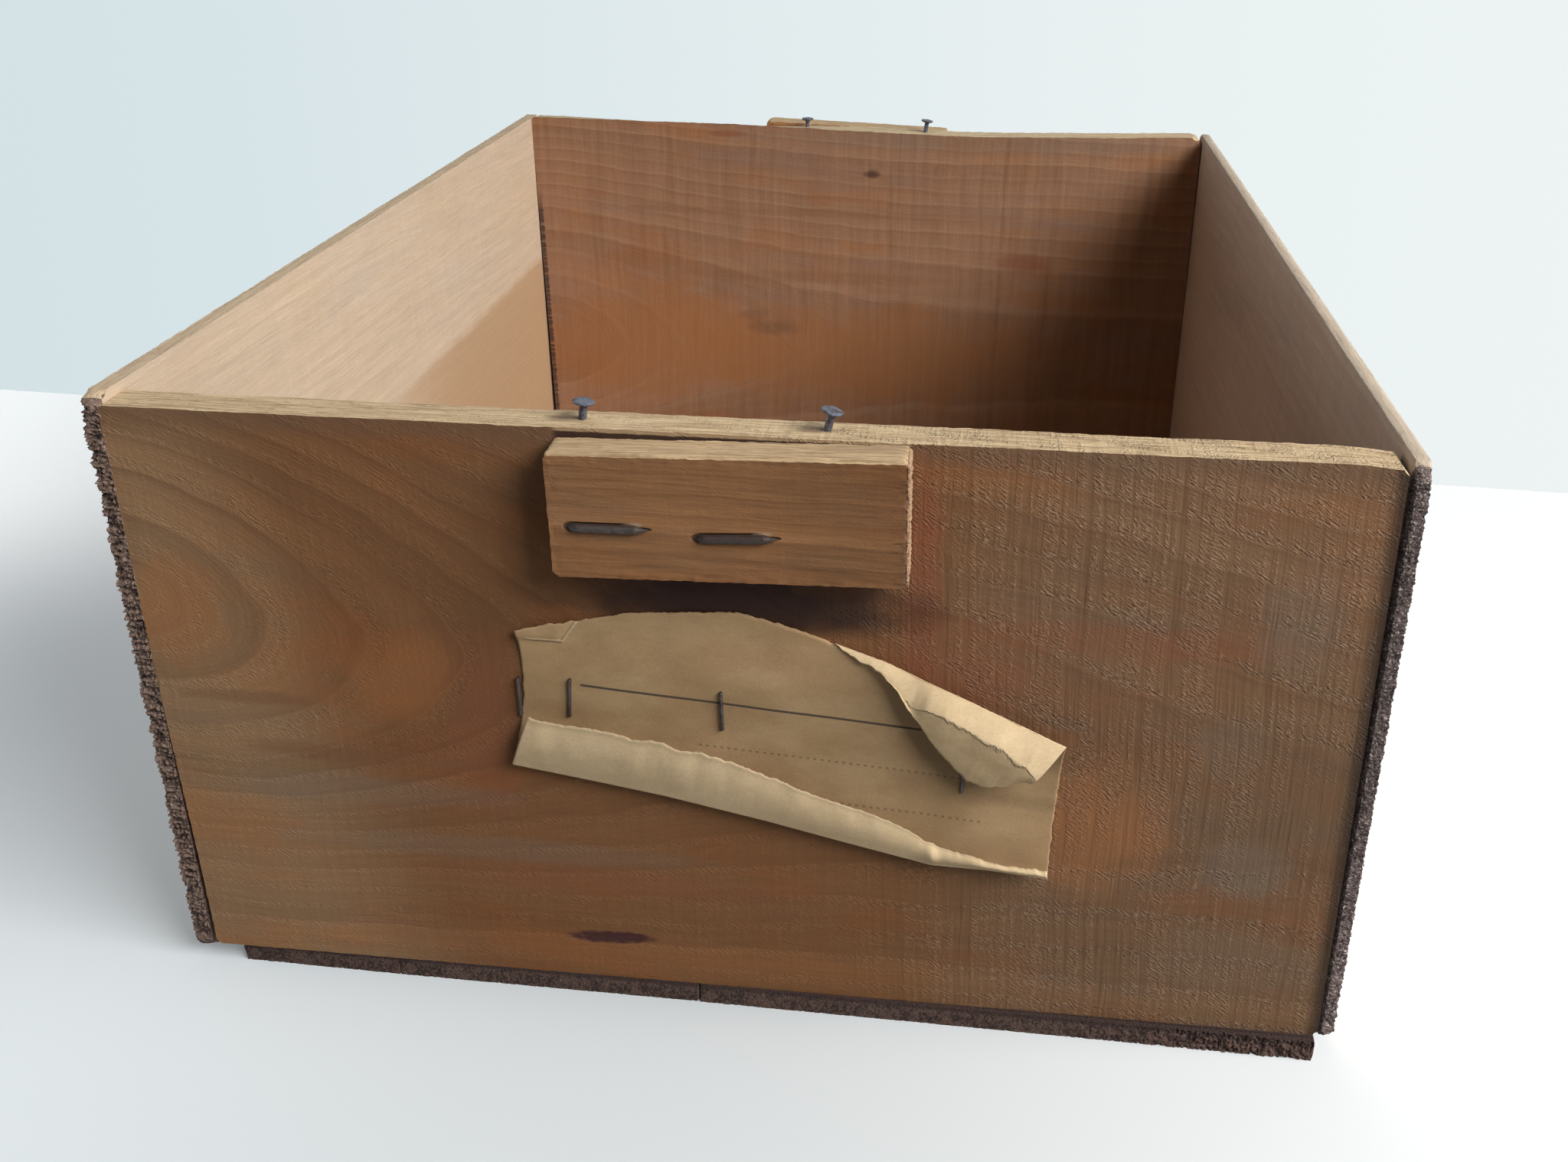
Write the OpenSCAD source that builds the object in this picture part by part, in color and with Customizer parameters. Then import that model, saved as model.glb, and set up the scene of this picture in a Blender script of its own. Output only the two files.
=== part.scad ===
// Nailed pine crate without its lid, with a handle block on each end and a torn paper label.
// It stands centred on the origin: +X to the right, +Y to the back, +Z up, in millimetres.

/* [End boards] */
// Length of an end board
end_w = 300; // [290:1:340]
// Height of an end board
end_h = 160; // [155:1:200]
// Thickness of an end board
end_t = 12; // [11:0.5:16]
// How far its top edge is shifted to the left, because the ends were sawn out of square
end_shift = 3; // [1.5:0.1:4]
// How much lower the right end of the back board is
back_fall = 1.5; // [0:0.1:3]

/* [Side boards] */
// Length of a side board
side_l = 400; // [340:5:460]
// Thickness of the left side board
left_t = 5; // [4:0.1:8]
// Thickness of the right side board
right_t = 4.2; // [4:0.1:8]
// Lean of both side boards to the left, in degrees
side_lean = 0.5; // [0.3:0.05:0.5]
// How far the left side board hangs below the end boards
left_drop = 2.5; // [0:0.5:4]
// How far the left side board stands above the front board
left_rise = 2.5; // [0:0.1:3]
// How far the right side board stands above the front board
right_rise = 1.2; // [0:0.1:3]
// How much lower the back end of a side board is
side_fall = 3; // [0:0.1:4]

/* [Bottom boards] */
// Thickness of a bottom board
bottom_t = 6; // [5:0.5:9]
// Width of the left bottom board
bottom_left_w = 43.5; // [35:0.5:50]
// Width of the middle bottom board
bottom_middle_w = 82.8; // [70:0.1:90]
// Gap between the left and the middle bottom board
tight_gap = 0.6; // [0.4:0.1:2]
// Gap between the middle and the right bottom board
open_gap = 3; // [0.5:0.1:4]
// Space between the end boards' left corner and the first bottom board
left_margin = 8.5; // [0:0.5:10]
// Space between the last bottom board and the end boards' right corner
right_margin = 0; // [0:0.5:6]

/* [Handle blocks] */
// Length of a handle block
cleat_l = 82.2; // [80:0.1:90]
// Height of a handle block
cleat_h = 29.8; // [26:0.1:32]
// Thickness of a handle block
cleat_t = 11; // [9:0.5:15]

/* [Nails] */
// Diameter of a nail's shank
nail_d = 2.1; // [1.6:0.1:2.4]
// Diameter of a nail's head
nail_head_d = 5.3; // [4:0.1:6]
// Length of the nails in the sides
side_nail_l = 28; // [22:1:30]
// Length of the nails in the bottom boards
bottom_nail_l = 24; // [18:1:26]
// Length of the nails that once held the lid
lid_nail_l = 22; // [18:1:23]
// How far those nails stand out of the top edge
lid_nail_out = 5.8; // [5:0.1:8]
// How much of a bent-over nail lies along the handle block
clench_l = 18.5; // [14:0.5:20]

/* [Label] */
// Thickness of the paper
paper_t = 0.3; // [0.25:0.05:0.4]
// Depth of the label's middle below the board's top edge
label_drop = 80; // [80:1:90]
// Wire diameter of a staple
staple_d = 0.9; // [0.6:0.1:1]
// Height of a staple's crown
staple_h = 11; // [9:0.5:11]
// Length of a staple's legs in the wood
staple_leg = 5; // [4:0.5:8]

/* [Hidden] */
$fn = 32;

half_w = end_w / 2;
half_l = side_l / 2;
top_z = bottom_t + end_h;
end_mid_y = half_l - end_t / 2;

// Worn corners of the boards' faces: bottom left, bottom right, top right, top left
front_wear = [1, 1.5, 4, 1];
back_wear = [1, 1, 2.5, 1];
left_wear = [3, 2, 2, 4];
right_wear = [2, 2, 2, 5];
bottom_wear = [1.5, 1.5, 1.5, 1.5];
cleat_wear = [0.8, 1.2, 1.5, 0.8];
// Softened long edges, in the same order round the cross-section, and the steps of one rounding
arris = [0.6, 0.6, 0.6, 0.6];
bullnose = 2.4;
arc_steps = 5;

// Bottom boards from left to right: left edge, width, setback of the front end, number of nails
bottom_x = -half_w + left_margin;
middle_x = bottom_x + bottom_left_w + tight_gap;
right_x = middle_x + bottom_middle_w + open_gap;
bottom_right_w = half_w - right_margin - right_x;
bottom_boards = [
    [bottom_x, bottom_left_w, 1.2, 2],
    [middle_x, bottom_middle_w, -0.5, 2],
    [right_x, bottom_right_w, -2.8, 3]
];
bottom_nail_margin = 9;

// Nails: flat head with a short cone under it, and a point
head_t = 0.9;
head_cone = 0.7;
head_bevel = 0.3;
point_l = 3.5;
bend_r = 2;
clench_sink = 0.5;

// Side nails: heights in one corner, and how far each strayed from the end board's middle line
side_nail_zs = [for (k = [0 : 3]) bottom_t + 24 + k * (end_h - 44) / 3];
side_nail_strays = [0.8, -1.2, 0.5, -0.6];

// Handle blocks, each seen from its own end: middle, drop below the top edge, tilt in degrees
front_block = [-1.4, 2, 1.3];
back_block = [1.6, 0.5, 2];
// Bent-over nails: place from the block's middle, depth below the top edge, turn in degrees
clenched = [[-35.9, 19.8, 0.8], [-6.3, 21, 3]];
// Lid nails: place along the end board, and lean in degrees
front_lid_places = [[-37.5, 7], [19.6, 14]];
back_lid_places = [[-26.3, 0], [27.2, 7]];

// Label curves, each point as [x, z, distance in front of the board], from the label's middle
label_x = 12;
paper_rest = 0.25;
top_curve = [
    [-66.8, 27, 1], [-51, 30.5, 0.3], [-39.5, 33, 0.3], [-13.4, 35, 0.3],
    [-2.2, 33, 0.3], [9.4, 27.8, 0.5], [66.9, 6.6, 4]
];
flap_curve = [
    [11, 26.2, 1.2], [21.8, 22.2, 3.2], [30.2, 14.3, 4.5], [37.9, 1, 5], [45.3, -5.2, 5],
    [52.5, -6.1, 5.4], [56.9, -3.6, 6.4], [59.3, -2.8, 7.4]
];
fold_curve = [[-69.8, -10.8, 2.2], [36.8, -32.2, 2.6], [66.2, -34.7, 1.8]];
roll_curve = [
    [-64.7, 4.4, 5], [-23.8, -1, 7], [25.4, -18.5, 6.2], [38.7, -26, 4.8], [65.7, -29.4, 3.9]
];
fold_r = 0.8;
torn_waist = 1.8;
label_columns = 34;
flat_rows = 9;
fold_rows = 4;
roll_rows = 4;
flap_rows = 7;
flap_bulge = 2.2;

// Staples: place from the label's middle, and lean in degrees; the last one missed the paper
staples = [[-55.1, 8.4, 3], [-16.8, 7.4, -2], [43.1, -6.2, 0], [-67.9, 7.9, -1]];

function unit(v) = v / norm(v);
function mix(a, b, t) = a + (b - a) * t;

// Arc that rounds one corner of an outline drawn anticlockwise
function corner_arc(before, corner, after, r) =
    let (
        a = unit(before - corner),
        b = unit(after - corner),
        half = acos(a * b) / 2,
        centre = corner + unit(a + b) * r / sin(half),
        first = corner + a * r / tan(half) - centre,
        start = atan2(first[1], first[0])
    )
    [for (k = [0 : arc_steps])
        let (angle = start + (180 - 2 * half) * k / arc_steps)
        centre + r * [cos(angle), sin(angle)]];

function rounded(corners, radii) =
    let (n = len(corners))
    [for (i = [0 : n - 1])
        each corner_arc(corners[(i + n - 1) % n], corners[i], corners[(i + 1) % n], radii[i])];

// Bar with softened long edges that runs past both ends of its board by the margin
module bar(l, t, h, edges, margin) {
    translate([-margin, 0, 0]) rotate([90, 0, 90]) linear_extrude(l + 2 * margin)
        polygon(rounded([[0, 0], [t, 0], [t, h], [0, h]], edges));
}

// Sawn board with its length along X, thickness along Y and height along Z.
// Its top edge may be shifted to the left, and may fall towards the right.
module board(size, wear, edges = arris, shift = 0, fall = 0) {
    l = size[0];
    t = size[1];
    h = size[2];
    margin = 10;
    intersection() {
        translate([0, t, 0]) rotate([90, 0, 0]) linear_extrude(t)
            polygon(rounded([[0, 0], [l, 0], [l - shift, h - fall], [-shift, h]], wear));
        bar(l, t, h + margin, edges, margin);
        translate([0, 0, h]) rotate([0, atan(fall / l), 0]) translate([0, 0, -h - margin])
            bar(l, t, h + margin, edges, margin);
    }
}

// Wire nail that hangs down from the top of its head
module nail(length) {
    r = nail_d / 2;
    head_r = nail_head_d / 2;
    rotate_extrude()
        polygon([
            [0, 0], [head_r - head_bevel, 0], [head_r, -head_bevel], [head_r, -head_t],
            [r, -head_t - head_cone], [r, point_l - length], [0, -length]
        ]);
}

// Nail that goes up through the wood, bends over and lies along +X
module clenched_nail(turn) {
    r = nail_d / 2;
    head_r = nail_head_d / 2;
    lie_z = end_t + cleat_t + clench_sink;
    rotate([0, 0, turn]) {
        rotate_extrude()
            polygon([
                [0, 0], [head_r, 0], [head_r, head_t], [r, head_t + head_cone],
                [r, lie_z - bend_r], [0, lie_z - bend_r]
            ]);
        translate([bend_r, 0, lie_z - bend_r]) rotate([-90, 0, 0]) rotate_extrude(angle = 90)
            translate([-bend_r, 0]) circle(r);
        translate([bend_r, 0, lie_z]) rotate([0, 90, 0]) rotate_extrude()
            polygon([[0, 0], [r, 0], [r, clench_l - bend_r - point_l], [0, clench_l - bend_r]]);
    }
}

module turned_round() {
    rotate([0, 0, 180]) children();
}

module mirrored_to_back() {
    mirror([0, 1, 0]) children();
}

// Frame of a side board: the plane x = 0 is its inner face.
// The left board touches the end boards at their top corner, the right one at their bottom corner.
module side_frame(side) {
    touch = side < 0 ? [-half_w - end_shift, end_h] : [half_w, 0];
    translate([touch[0], 0, bottom_t + touch[1]]) rotate([0, -side_lean, 0])
        translate([0, 0, -touch[1]]) children();
}

function side_t(side) = side < 0 ? left_t : right_t;

// The nails of each group stand where they are driven, so the same shapes bore their own holes
module side_nails(side) {
    side_frame(side)
        for (k = [0 : len(side_nail_zs) - 1])
            translate([
                side * side_t(side), -end_mid_y + side_nail_strays[k], side_nail_zs[k] - bottom_t
            ])
                rotate([0, side * 90, 0]) nail(side_nail_l);
}

module bottom_nails() {
    for (b = bottom_boards)
        for (k = [0 : b[3] - 1])
            translate([
                b[0] + bottom_nail_margin + k * (b[1] - 2 * bottom_nail_margin) / (b[3] - 1),
                -end_mid_y, 0
            ])
                rotate([180, 0, 0]) nail(bottom_nail_l);
}

module lid_nails(places) {
    for (p = places)
        translate([p[0], -end_mid_y, top_z]) rotate([0, p[1], 0]) translate([0, 0, lid_nail_out])
            nail(lid_nail_l);
}

module cleat_nails(block) {
    for (c = clenched)
        translate([block[0] + c[0], -half_l + end_t, top_z - c[1]]) rotate([90, 0, 0])
            clenched_nail(c[2]);
}

module at_staples() {
    for (s = staples)
        translate([label_x + s[0], -half_l, top_z - label_drop + s[1]]) rotate([0, s[2], 0])
            children();
}

crown_l = staple_h - staple_d;
crown_out = paper_rest + paper_t / 2 + staple_d / 2;

module staple_legs() {
    at_staples()
        for (end = [-1, 1])
            translate([0, staple_leg, end * crown_l / 2]) rotate([90, 0, 0])
                cylinder(h = staple_leg + crown_out, d = staple_d);
}

module end_board(wear, fall) {
    difference() {
        translate([-half_w, -half_l, bottom_t])
            board([end_w, end_t, end_h], wear, shift = end_shift, fall = fall);
        side_nails(-1);
        side_nails(1);
        bottom_nails();
    }
}

module front_end_board() {
    color("#9c6f47") difference() {
        end_board(front_wear, 0);
        lid_nails(front_lid_places);
        cleat_nails(front_block);
        staple_legs();
    }
}

module back_end_board() {
    color("#96653f") difference() {
        mirrored_to_back() end_board(back_wear, back_fall);
        mirrored_to_back() lid_nails(back_lid_places);
        turned_round() cleat_nails(back_block);
    }
}

module side_board(side, drop, rise, wear) {
    difference() {
        side_frame(side)
            translate([side > 0 ? right_t : 0, -half_l, -drop]) rotate([0, 0, 90])
                board([side_l, side_t(side), end_h + drop + rise], wear, fall = side_fall);
        side_nails(side);
        mirrored_to_back() side_nails(side);
    }
}

module left_side_board() {
    color("#b98f62") side_board(-1, left_drop, left_rise, left_wear);
}

module right_side_board() {
    color("#ab8259") side_board(1, 0, right_rise, right_wear);
}

module bottom_board(k, edges) {
    b = bottom_boards[k];
    difference() {
        translate([b[0], -half_l + b[2], 0]) rotate([90, 0, 90])
            board([side_l - 2 * b[2], bottom_t, b[1]], bottom_wear, edges);
        bottom_nails();
        mirrored_to_back() bottom_nails();
    }
}

module bottom_board_left() {
    color("#8d6846") bottom_board(0, [bullnose, bullnose, 0.6, 0.6]);
}

module bottom_board_middle() {
    color("#946c46") bottom_board(1, arris);
}

module bottom_board_right() {
    color("#8a6240") bottom_board(2, [0.6, 0.6, bullnose, bullnose]);
}

module cleat(block) {
    difference() {
        translate([block[0], -half_l - cleat_t, top_z - block[1] - cleat_h / 2])
            rotate([0, -block[2], 0]) translate([-cleat_l / 2, 0, -cleat_h / 2])
                board([cleat_l, cleat_t, cleat_h], cleat_wear);
        cleat_nails(block);
    }
}

module front_cleat() {
    color("#bd9065") cleat(front_block);
}

module back_cleat() {
    color("#bd9065") turned_round() cleat(back_block);
}

module front_cleat_nails() {
    color("#5d6068") cleat_nails(front_block);
}

module back_cleat_nails() {
    color("#5d6068") turned_round() cleat_nails(back_block);
}

module front_lid_nails() {
    color("#6a7080") lid_nails(front_lid_places);
}

module back_lid_nails() {
    color("#6a7080") mirrored_to_back() lid_nails(back_lid_places);
}

module front_left_side_nails() {
    color("#5d6068") side_nails(-1);
}

module front_right_side_nails() {
    color("#5d6068") side_nails(1);
}

module back_left_side_nails() {
    color("#5d6068") mirrored_to_back() side_nails(-1);
}

module back_right_side_nails() {
    color("#5d6068") mirrored_to_back() side_nails(1);
}

module bottom_front_nails() {
    color("#5d6068") bottom_nails();
}

module bottom_back_nails() {
    color("#5d6068") mirrored_to_back() bottom_nails();
}

// Height and forward distance of a label curve at one place along it
function curve_at(curve, x) = [
    x, lookup(x, [for (p = curve) [p[0], p[1]]]), lookup(x, [for (p = curve) [p[0], p[2]]])
];

function curve_share(curve, u) = curve_at(curve, mix(curve[0][0], curve[len(curve) - 1][0], u));

// From [x, z, forward] to the crate's own directions
function on_board(p) = [p[0], -p[2], p[1]];

// One column of the sheet: down the board, round the fold and up to the torn edge
function sheet_column(u) =
    let (
        head = curve_share(top_curve, u),
        fold = curve_share(fold_curve, u),
        edge = curve_share(roll_curve, u),
        foot = fold + [0, fold_r, -fold_r],
        back = fold + [0, fold_r, fold_r]
    )
    concat(
        [for (k = [0 : flat_rows])
            let (
                v = k / flat_rows,
                lift_top = pow(max(0, 1 - 3 * v), 2) * (head[2] - paper_rest),
                lift_foot = pow(max(0, 2.5 * v - 1.5), 2) * (foot[2] - paper_rest),
                waist = torn_waist * pow(1 - u, 8) * sin(180 * v),
                p = mix(head, foot, v)
            )
            [p[0] + waist, p[1], paper_rest + lift_top + lift_foot]],
        [for (k = [1 : fold_rows - 1])
            let (angle = 180 * k / fold_rows)
            fold + fold_r * [0, 1 - sin(angle), -cos(angle)]],
        [for (k = [0 : roll_rows]) mix(back, edge, k / roll_rows)]
    );

// One column of the folded-over corner, from the fold line to its torn edge
function flap_column(u) =
    let (
        first = top_curve[len(top_curve) - 2],
        last = top_curve[len(top_curve) - 1],
        fold = mix(first, last, u),
        edge = curve_share(flap_curve, u)
    )
    [for (k = [0 : flap_rows])
        let (v = k / flap_rows)
        mix(fold, edge, v) + [0, 0, flap_bulge * u * sin(180 * v)]];

function grid_normal(g, c, r) =
    let (
        across = g[min(c + 1, len(g) - 1)][r] - g[max(c - 1, 0)][r],
        down = g[c][min(r + 1, len(g[c]) - 1)] - g[c][max(r - 1, 0)]
    )
    unit(cross(down, across));

// Closed sheet of paper of even thickness on a grid of columns
module paper(grid) {
    cols = len(grid);
    rows = len(grid[0]);
    count = cols * rows;
    function at(c, r) = c * rows + r;
    points = [
        for (half = [0.5, -0.5], c = [0 : cols - 1], r = [0 : rows - 1])
            grid[c][r] + half * paper_t * grid_normal(grid, c, r)
    ];
    quads = concat(
        [for (c = [0 : cols - 2], r = [0 : rows - 2])
            [at(c, r), at(c + 1, r), at(c + 1, r + 1), at(c, r + 1)]],
        [for (c = [0 : cols - 2], r = [0 : rows - 2])
            [for (i = [at(c, r + 1), at(c + 1, r + 1), at(c + 1, r), at(c, r)]) i + count]],
        [for (c = [0 : cols - 2])
            [at(c + 1, 0), at(c, 0), at(c, 0) + count, at(c + 1, 0) + count]],
        [for (c = [0 : cols - 2])
            [at(c, rows - 1), at(c + 1, rows - 1), at(c + 1, rows - 1) + count,
                at(c, rows - 1) + count]],
        [for (r = [0 : rows - 2]) [at(0, r), at(0, r + 1), at(0, r + 1) + count, at(0, r) + count]],
        [for (r = [0 : rows - 2])
            [at(cols - 1, r + 1), at(cols - 1, r), at(cols - 1, r) + count,
                at(cols - 1, r + 1) + count]]
    );
    polyhedron(points, [for (q = quads) each [[q[0], q[1], q[2]], [q[0], q[2], q[3]]]]);
}

module label() {
    color("#b59f78") difference() {
        translate([label_x, -half_l, top_z - label_drop]) {
            paper([for (k = [0 : label_columns])
                [for (p = sheet_column(k / label_columns)) on_board(p)]]);
            paper([for (k = [0 : label_columns / 2])
                [for (p = flap_column(2 * k / label_columns)) on_board(p)]]);
        }
        staple_legs();
    }
}

module label_staples() {
    color("#4c4a4c") {
        staple_legs();
        at_staples() translate([0, -crown_out, -crown_l / 2]) cylinder(h = crown_l, d = staple_d);
        at_staples()
            for (end = [-1, 1]) translate([0, -crown_out, end * crown_l / 2]) sphere(d = staple_d);
    }
}

front_end_board();
back_end_board();
left_side_board();
right_side_board();
bottom_board_left();
bottom_board_middle();
bottom_board_right();
front_cleat();
back_cleat();
front_cleat_nails();
back_cleat_nails();
front_lid_nails();
back_lid_nails();
front_left_side_nails();
front_right_side_nails();
back_left_side_nails();
back_right_side_nails();
bottom_front_nails();
bottom_back_nails();
label();
label_staples();
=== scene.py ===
# %% [markdown]
# # A nailed pine crate without its lid
#
# The crate is six kinds of thing: two thick end boards, two thin side boards, three floor boards,
# a handle block on each end, wire nails, and a paper label that has torn and curled. The packed
# model gives each of them its exact place. What it can't give is the look of wood that was sawn
# in a hurry a lifetime ago, so this lesson builds a worn skin for each board, folds the paper
# again in finer steps, and writes a finish for every piece.

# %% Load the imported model
import math

import bmesh
import bpy
from mathutils import Matrix, Vector, noise


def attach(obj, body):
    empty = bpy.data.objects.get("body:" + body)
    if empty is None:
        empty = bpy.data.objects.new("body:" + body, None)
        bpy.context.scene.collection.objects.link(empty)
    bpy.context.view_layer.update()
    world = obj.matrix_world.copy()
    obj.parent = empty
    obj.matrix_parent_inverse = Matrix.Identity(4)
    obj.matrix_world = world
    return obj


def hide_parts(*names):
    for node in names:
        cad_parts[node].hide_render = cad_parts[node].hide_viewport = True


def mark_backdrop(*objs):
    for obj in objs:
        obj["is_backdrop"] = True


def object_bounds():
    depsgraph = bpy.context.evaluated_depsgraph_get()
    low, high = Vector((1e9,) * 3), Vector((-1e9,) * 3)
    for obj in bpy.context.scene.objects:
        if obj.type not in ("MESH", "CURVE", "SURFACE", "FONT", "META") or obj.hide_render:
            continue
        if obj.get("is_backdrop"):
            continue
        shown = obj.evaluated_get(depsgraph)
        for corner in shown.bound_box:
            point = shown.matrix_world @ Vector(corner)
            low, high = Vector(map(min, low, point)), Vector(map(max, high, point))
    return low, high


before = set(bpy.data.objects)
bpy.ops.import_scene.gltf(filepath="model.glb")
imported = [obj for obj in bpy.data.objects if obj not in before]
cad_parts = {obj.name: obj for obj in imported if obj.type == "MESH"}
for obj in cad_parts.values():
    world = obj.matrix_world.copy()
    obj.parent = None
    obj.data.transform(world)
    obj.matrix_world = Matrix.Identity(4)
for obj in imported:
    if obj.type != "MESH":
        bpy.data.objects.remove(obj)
cad_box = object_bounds()
MM = 0.001
bpy.ops.object.select_all(action="DESELECT")
print(len(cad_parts), "nodes in a box of", [round(s / MM) for s in cad_box[1] - cad_box[0]], "mm")

# %% [markdown]
# ## The camera
#
# The photograph was taken from a little to the right of the middle, looking down and slightly to
# the left. The place and the angles below were found by matching the crate's corners, so they are
# written as the camera's own directions: forward, right and up.

# %% Camera
CAMERA_PLACE = Vector((49.3, -526.7, 293.3)) * MM
CAMERA_YAW, CAMERA_PITCH, CAMERA_ROLL = (math.radians(a) for a in (-6.774, -26.404, 0.202))
LENS, SENSOR = 35.76, 36.0

forward = Vector(
    (
        math.sin(CAMERA_YAW) * math.cos(CAMERA_PITCH),
        math.cos(CAMERA_YAW) * math.cos(CAMERA_PITCH),
        math.sin(CAMERA_PITCH),
    )
)
level_right = Vector((math.cos(CAMERA_YAW), -math.sin(CAMERA_YAW), 0))
level_up = level_right.cross(forward)
right = math.cos(CAMERA_ROLL) * level_right + math.sin(CAMERA_ROLL) * level_up
up = right.cross(forward)
turn = Matrix((right, up, -forward)).transposed().to_4x4()

bpy.ops.object.camera_add()
camera = bpy.context.object
camera.name = "camera"
camera.matrix_world = Matrix.Translation(CAMERA_PLACE) @ turn
camera.data.lens, camera.data.sensor_width = LENS, SENSOR
camera.data.clip_start = 0.01
bpy.context.scene.camera = camera
print("camera looks along", [round(c, 3) for c in forward])

# %% [markdown]
# ## Writing a material as sums
#
# A procedural material is a graph of small nodes. Wiring them by hand hides the idea, so one
# class holds the graph, and one wraps a socket, so that `late * 0.4 + fibre` adds the nodes that
# work it out. Every other node comes from the same method.


# %% Material helpers
class Wire:
    """A number, colour or vector on its way through a material."""

    def __init__(self, paint, socket):
        self.paint, self.socket = paint, socket

    def math(self, operation, *rest):
        sockets = dict(enumerate((self, *rest)))
        return self.paint.node("ShaderNodeMath", {"operation": operation}, sockets)

    def __add__(self, other):
        return self.math("ADD", other)

    __radd__ = __add__

    def __sub__(self, other):
        return self.math("SUBTRACT", other)

    def __rsub__(self, other):
        return self.paint.node("ShaderNodeMath", {"operation": "SUBTRACT"}, {0: other, 1: self})

    def __mul__(self, other):
        return self.math("MULTIPLY", other)

    __rmul__ = __mul__

    def __truediv__(self, other):
        return self.math("DIVIDE", other)

    def __rpow__(self, other):
        return self.paint.node("ShaderNodeMath", {"operation": "POWER"}, {0: other, 1: self})

    def __abs__(self):
        return self.math("ABSOLUTE")


class Paint:
    """A material under construction. Its lengths are in millimetres."""

    def __init__(self, name):
        self.material = bpy.data.materials.new(name)
        self.material.use_nodes = True
        self.tree = self.material.node_tree
        self.tree.nodes.clear()

    def node(self, kind, settings=None, sockets=None, out=0):
        node = self.tree.nodes.new(kind)
        for key, value in (settings or {}).items():
            setattr(node, key, value)
        for key, value in (sockets or {}).items():
            if isinstance(value, Wire):
                self.tree.links.new(value.socket, node.inputs[key])
            else:
                node.inputs[key].default_value = value
        return Wire(self, node.outputs[out]) if node.outputs else None

    def split(self, vector):
        parts = self.node("ShaderNodeSeparateXYZ", sockets={0: vector}).socket.node
        return [Wire(self, s) for s in parts.outputs]

    def place(self):
        spot = self.node("ShaderNodeTexCoord", out="Object")
        grown = {"operation": "SCALE"}
        return self.split(self.node("ShaderNodeVectorMath", grown, {0: spot, "Scale": 1 / MM}))

    def facing(self):
        return self.split(self.node("ShaderNodeNewGeometry", out="Normal"))

    def noise(self, x, y, z, detail=2.0, rough=0.5):
        where = self.node("ShaderNodeCombineXYZ", sockets={0: x, 1: y, 2: z})
        return self.node(
            "ShaderNodeTexNoise",
            sockets={"Vector": where, "Scale": 1.0, "Detail": detail, "Roughness": rough},
        )

    def step(self, value, low, high):
        return self.node(
            "ShaderNodeMapRange",
            {"interpolation_type": "SMOOTHSTEP"},
            {"Value": value, "From Min": low, "From Max": high},
        )

    def mix(self, share, first, second, blend="MIX"):
        first, second = ((*c, 1.0) if isinstance(c, tuple) else c for c in (first, second))
        return self.node(
            "ShaderNodeMix",
            {"data_type": "RGBA", "blend_type": blend, "clamp_factor": True},
            {0: share, 6: first, 7: second},
            out=2,
        )

    def gain(self, colour, factor):
        return self.node(
            "ShaderNodeVectorMath", {"operation": "SCALE"}, {0: colour, "Scale": factor}
        )

    def finish(self, colour, roughness, height, metallic=0.0, specular=0.3):
        bump = self.node("ShaderNodeBump", sockets={"Distance": MM, "Height": height})
        skin = self.node(
            "ShaderNodeBsdfPrincipled",
            sockets={
                "Base Color": colour,
                "Roughness": roughness,
                "Metallic": metallic,
                "Specular IOR Level": specular,
                "Normal": bump,
            },
        )
        self.node("ShaderNodeOutputMaterial", sockets={"Surface": skin})
        return self.material


print("material helpers ready")

# %% [markdown]
# ## Pine, from the tree's rings
#
# A board is a slice of a trunk, so its figure is drawn as one: each point's distance from the
# trunk's heart is divided by a ring's width, and the fraction says how far the wood is from the
# pale spring growth to the dark autumn growth. The heart is a line that drifts across the board
# and sinks below its face, which gives the eye and the long tongues of a flat-sawn board. Fine
# fibres follow the same rings, the saw leaves upright ridges across them, and the torn ends of
# fibres catch the light as pale flecks.


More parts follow.
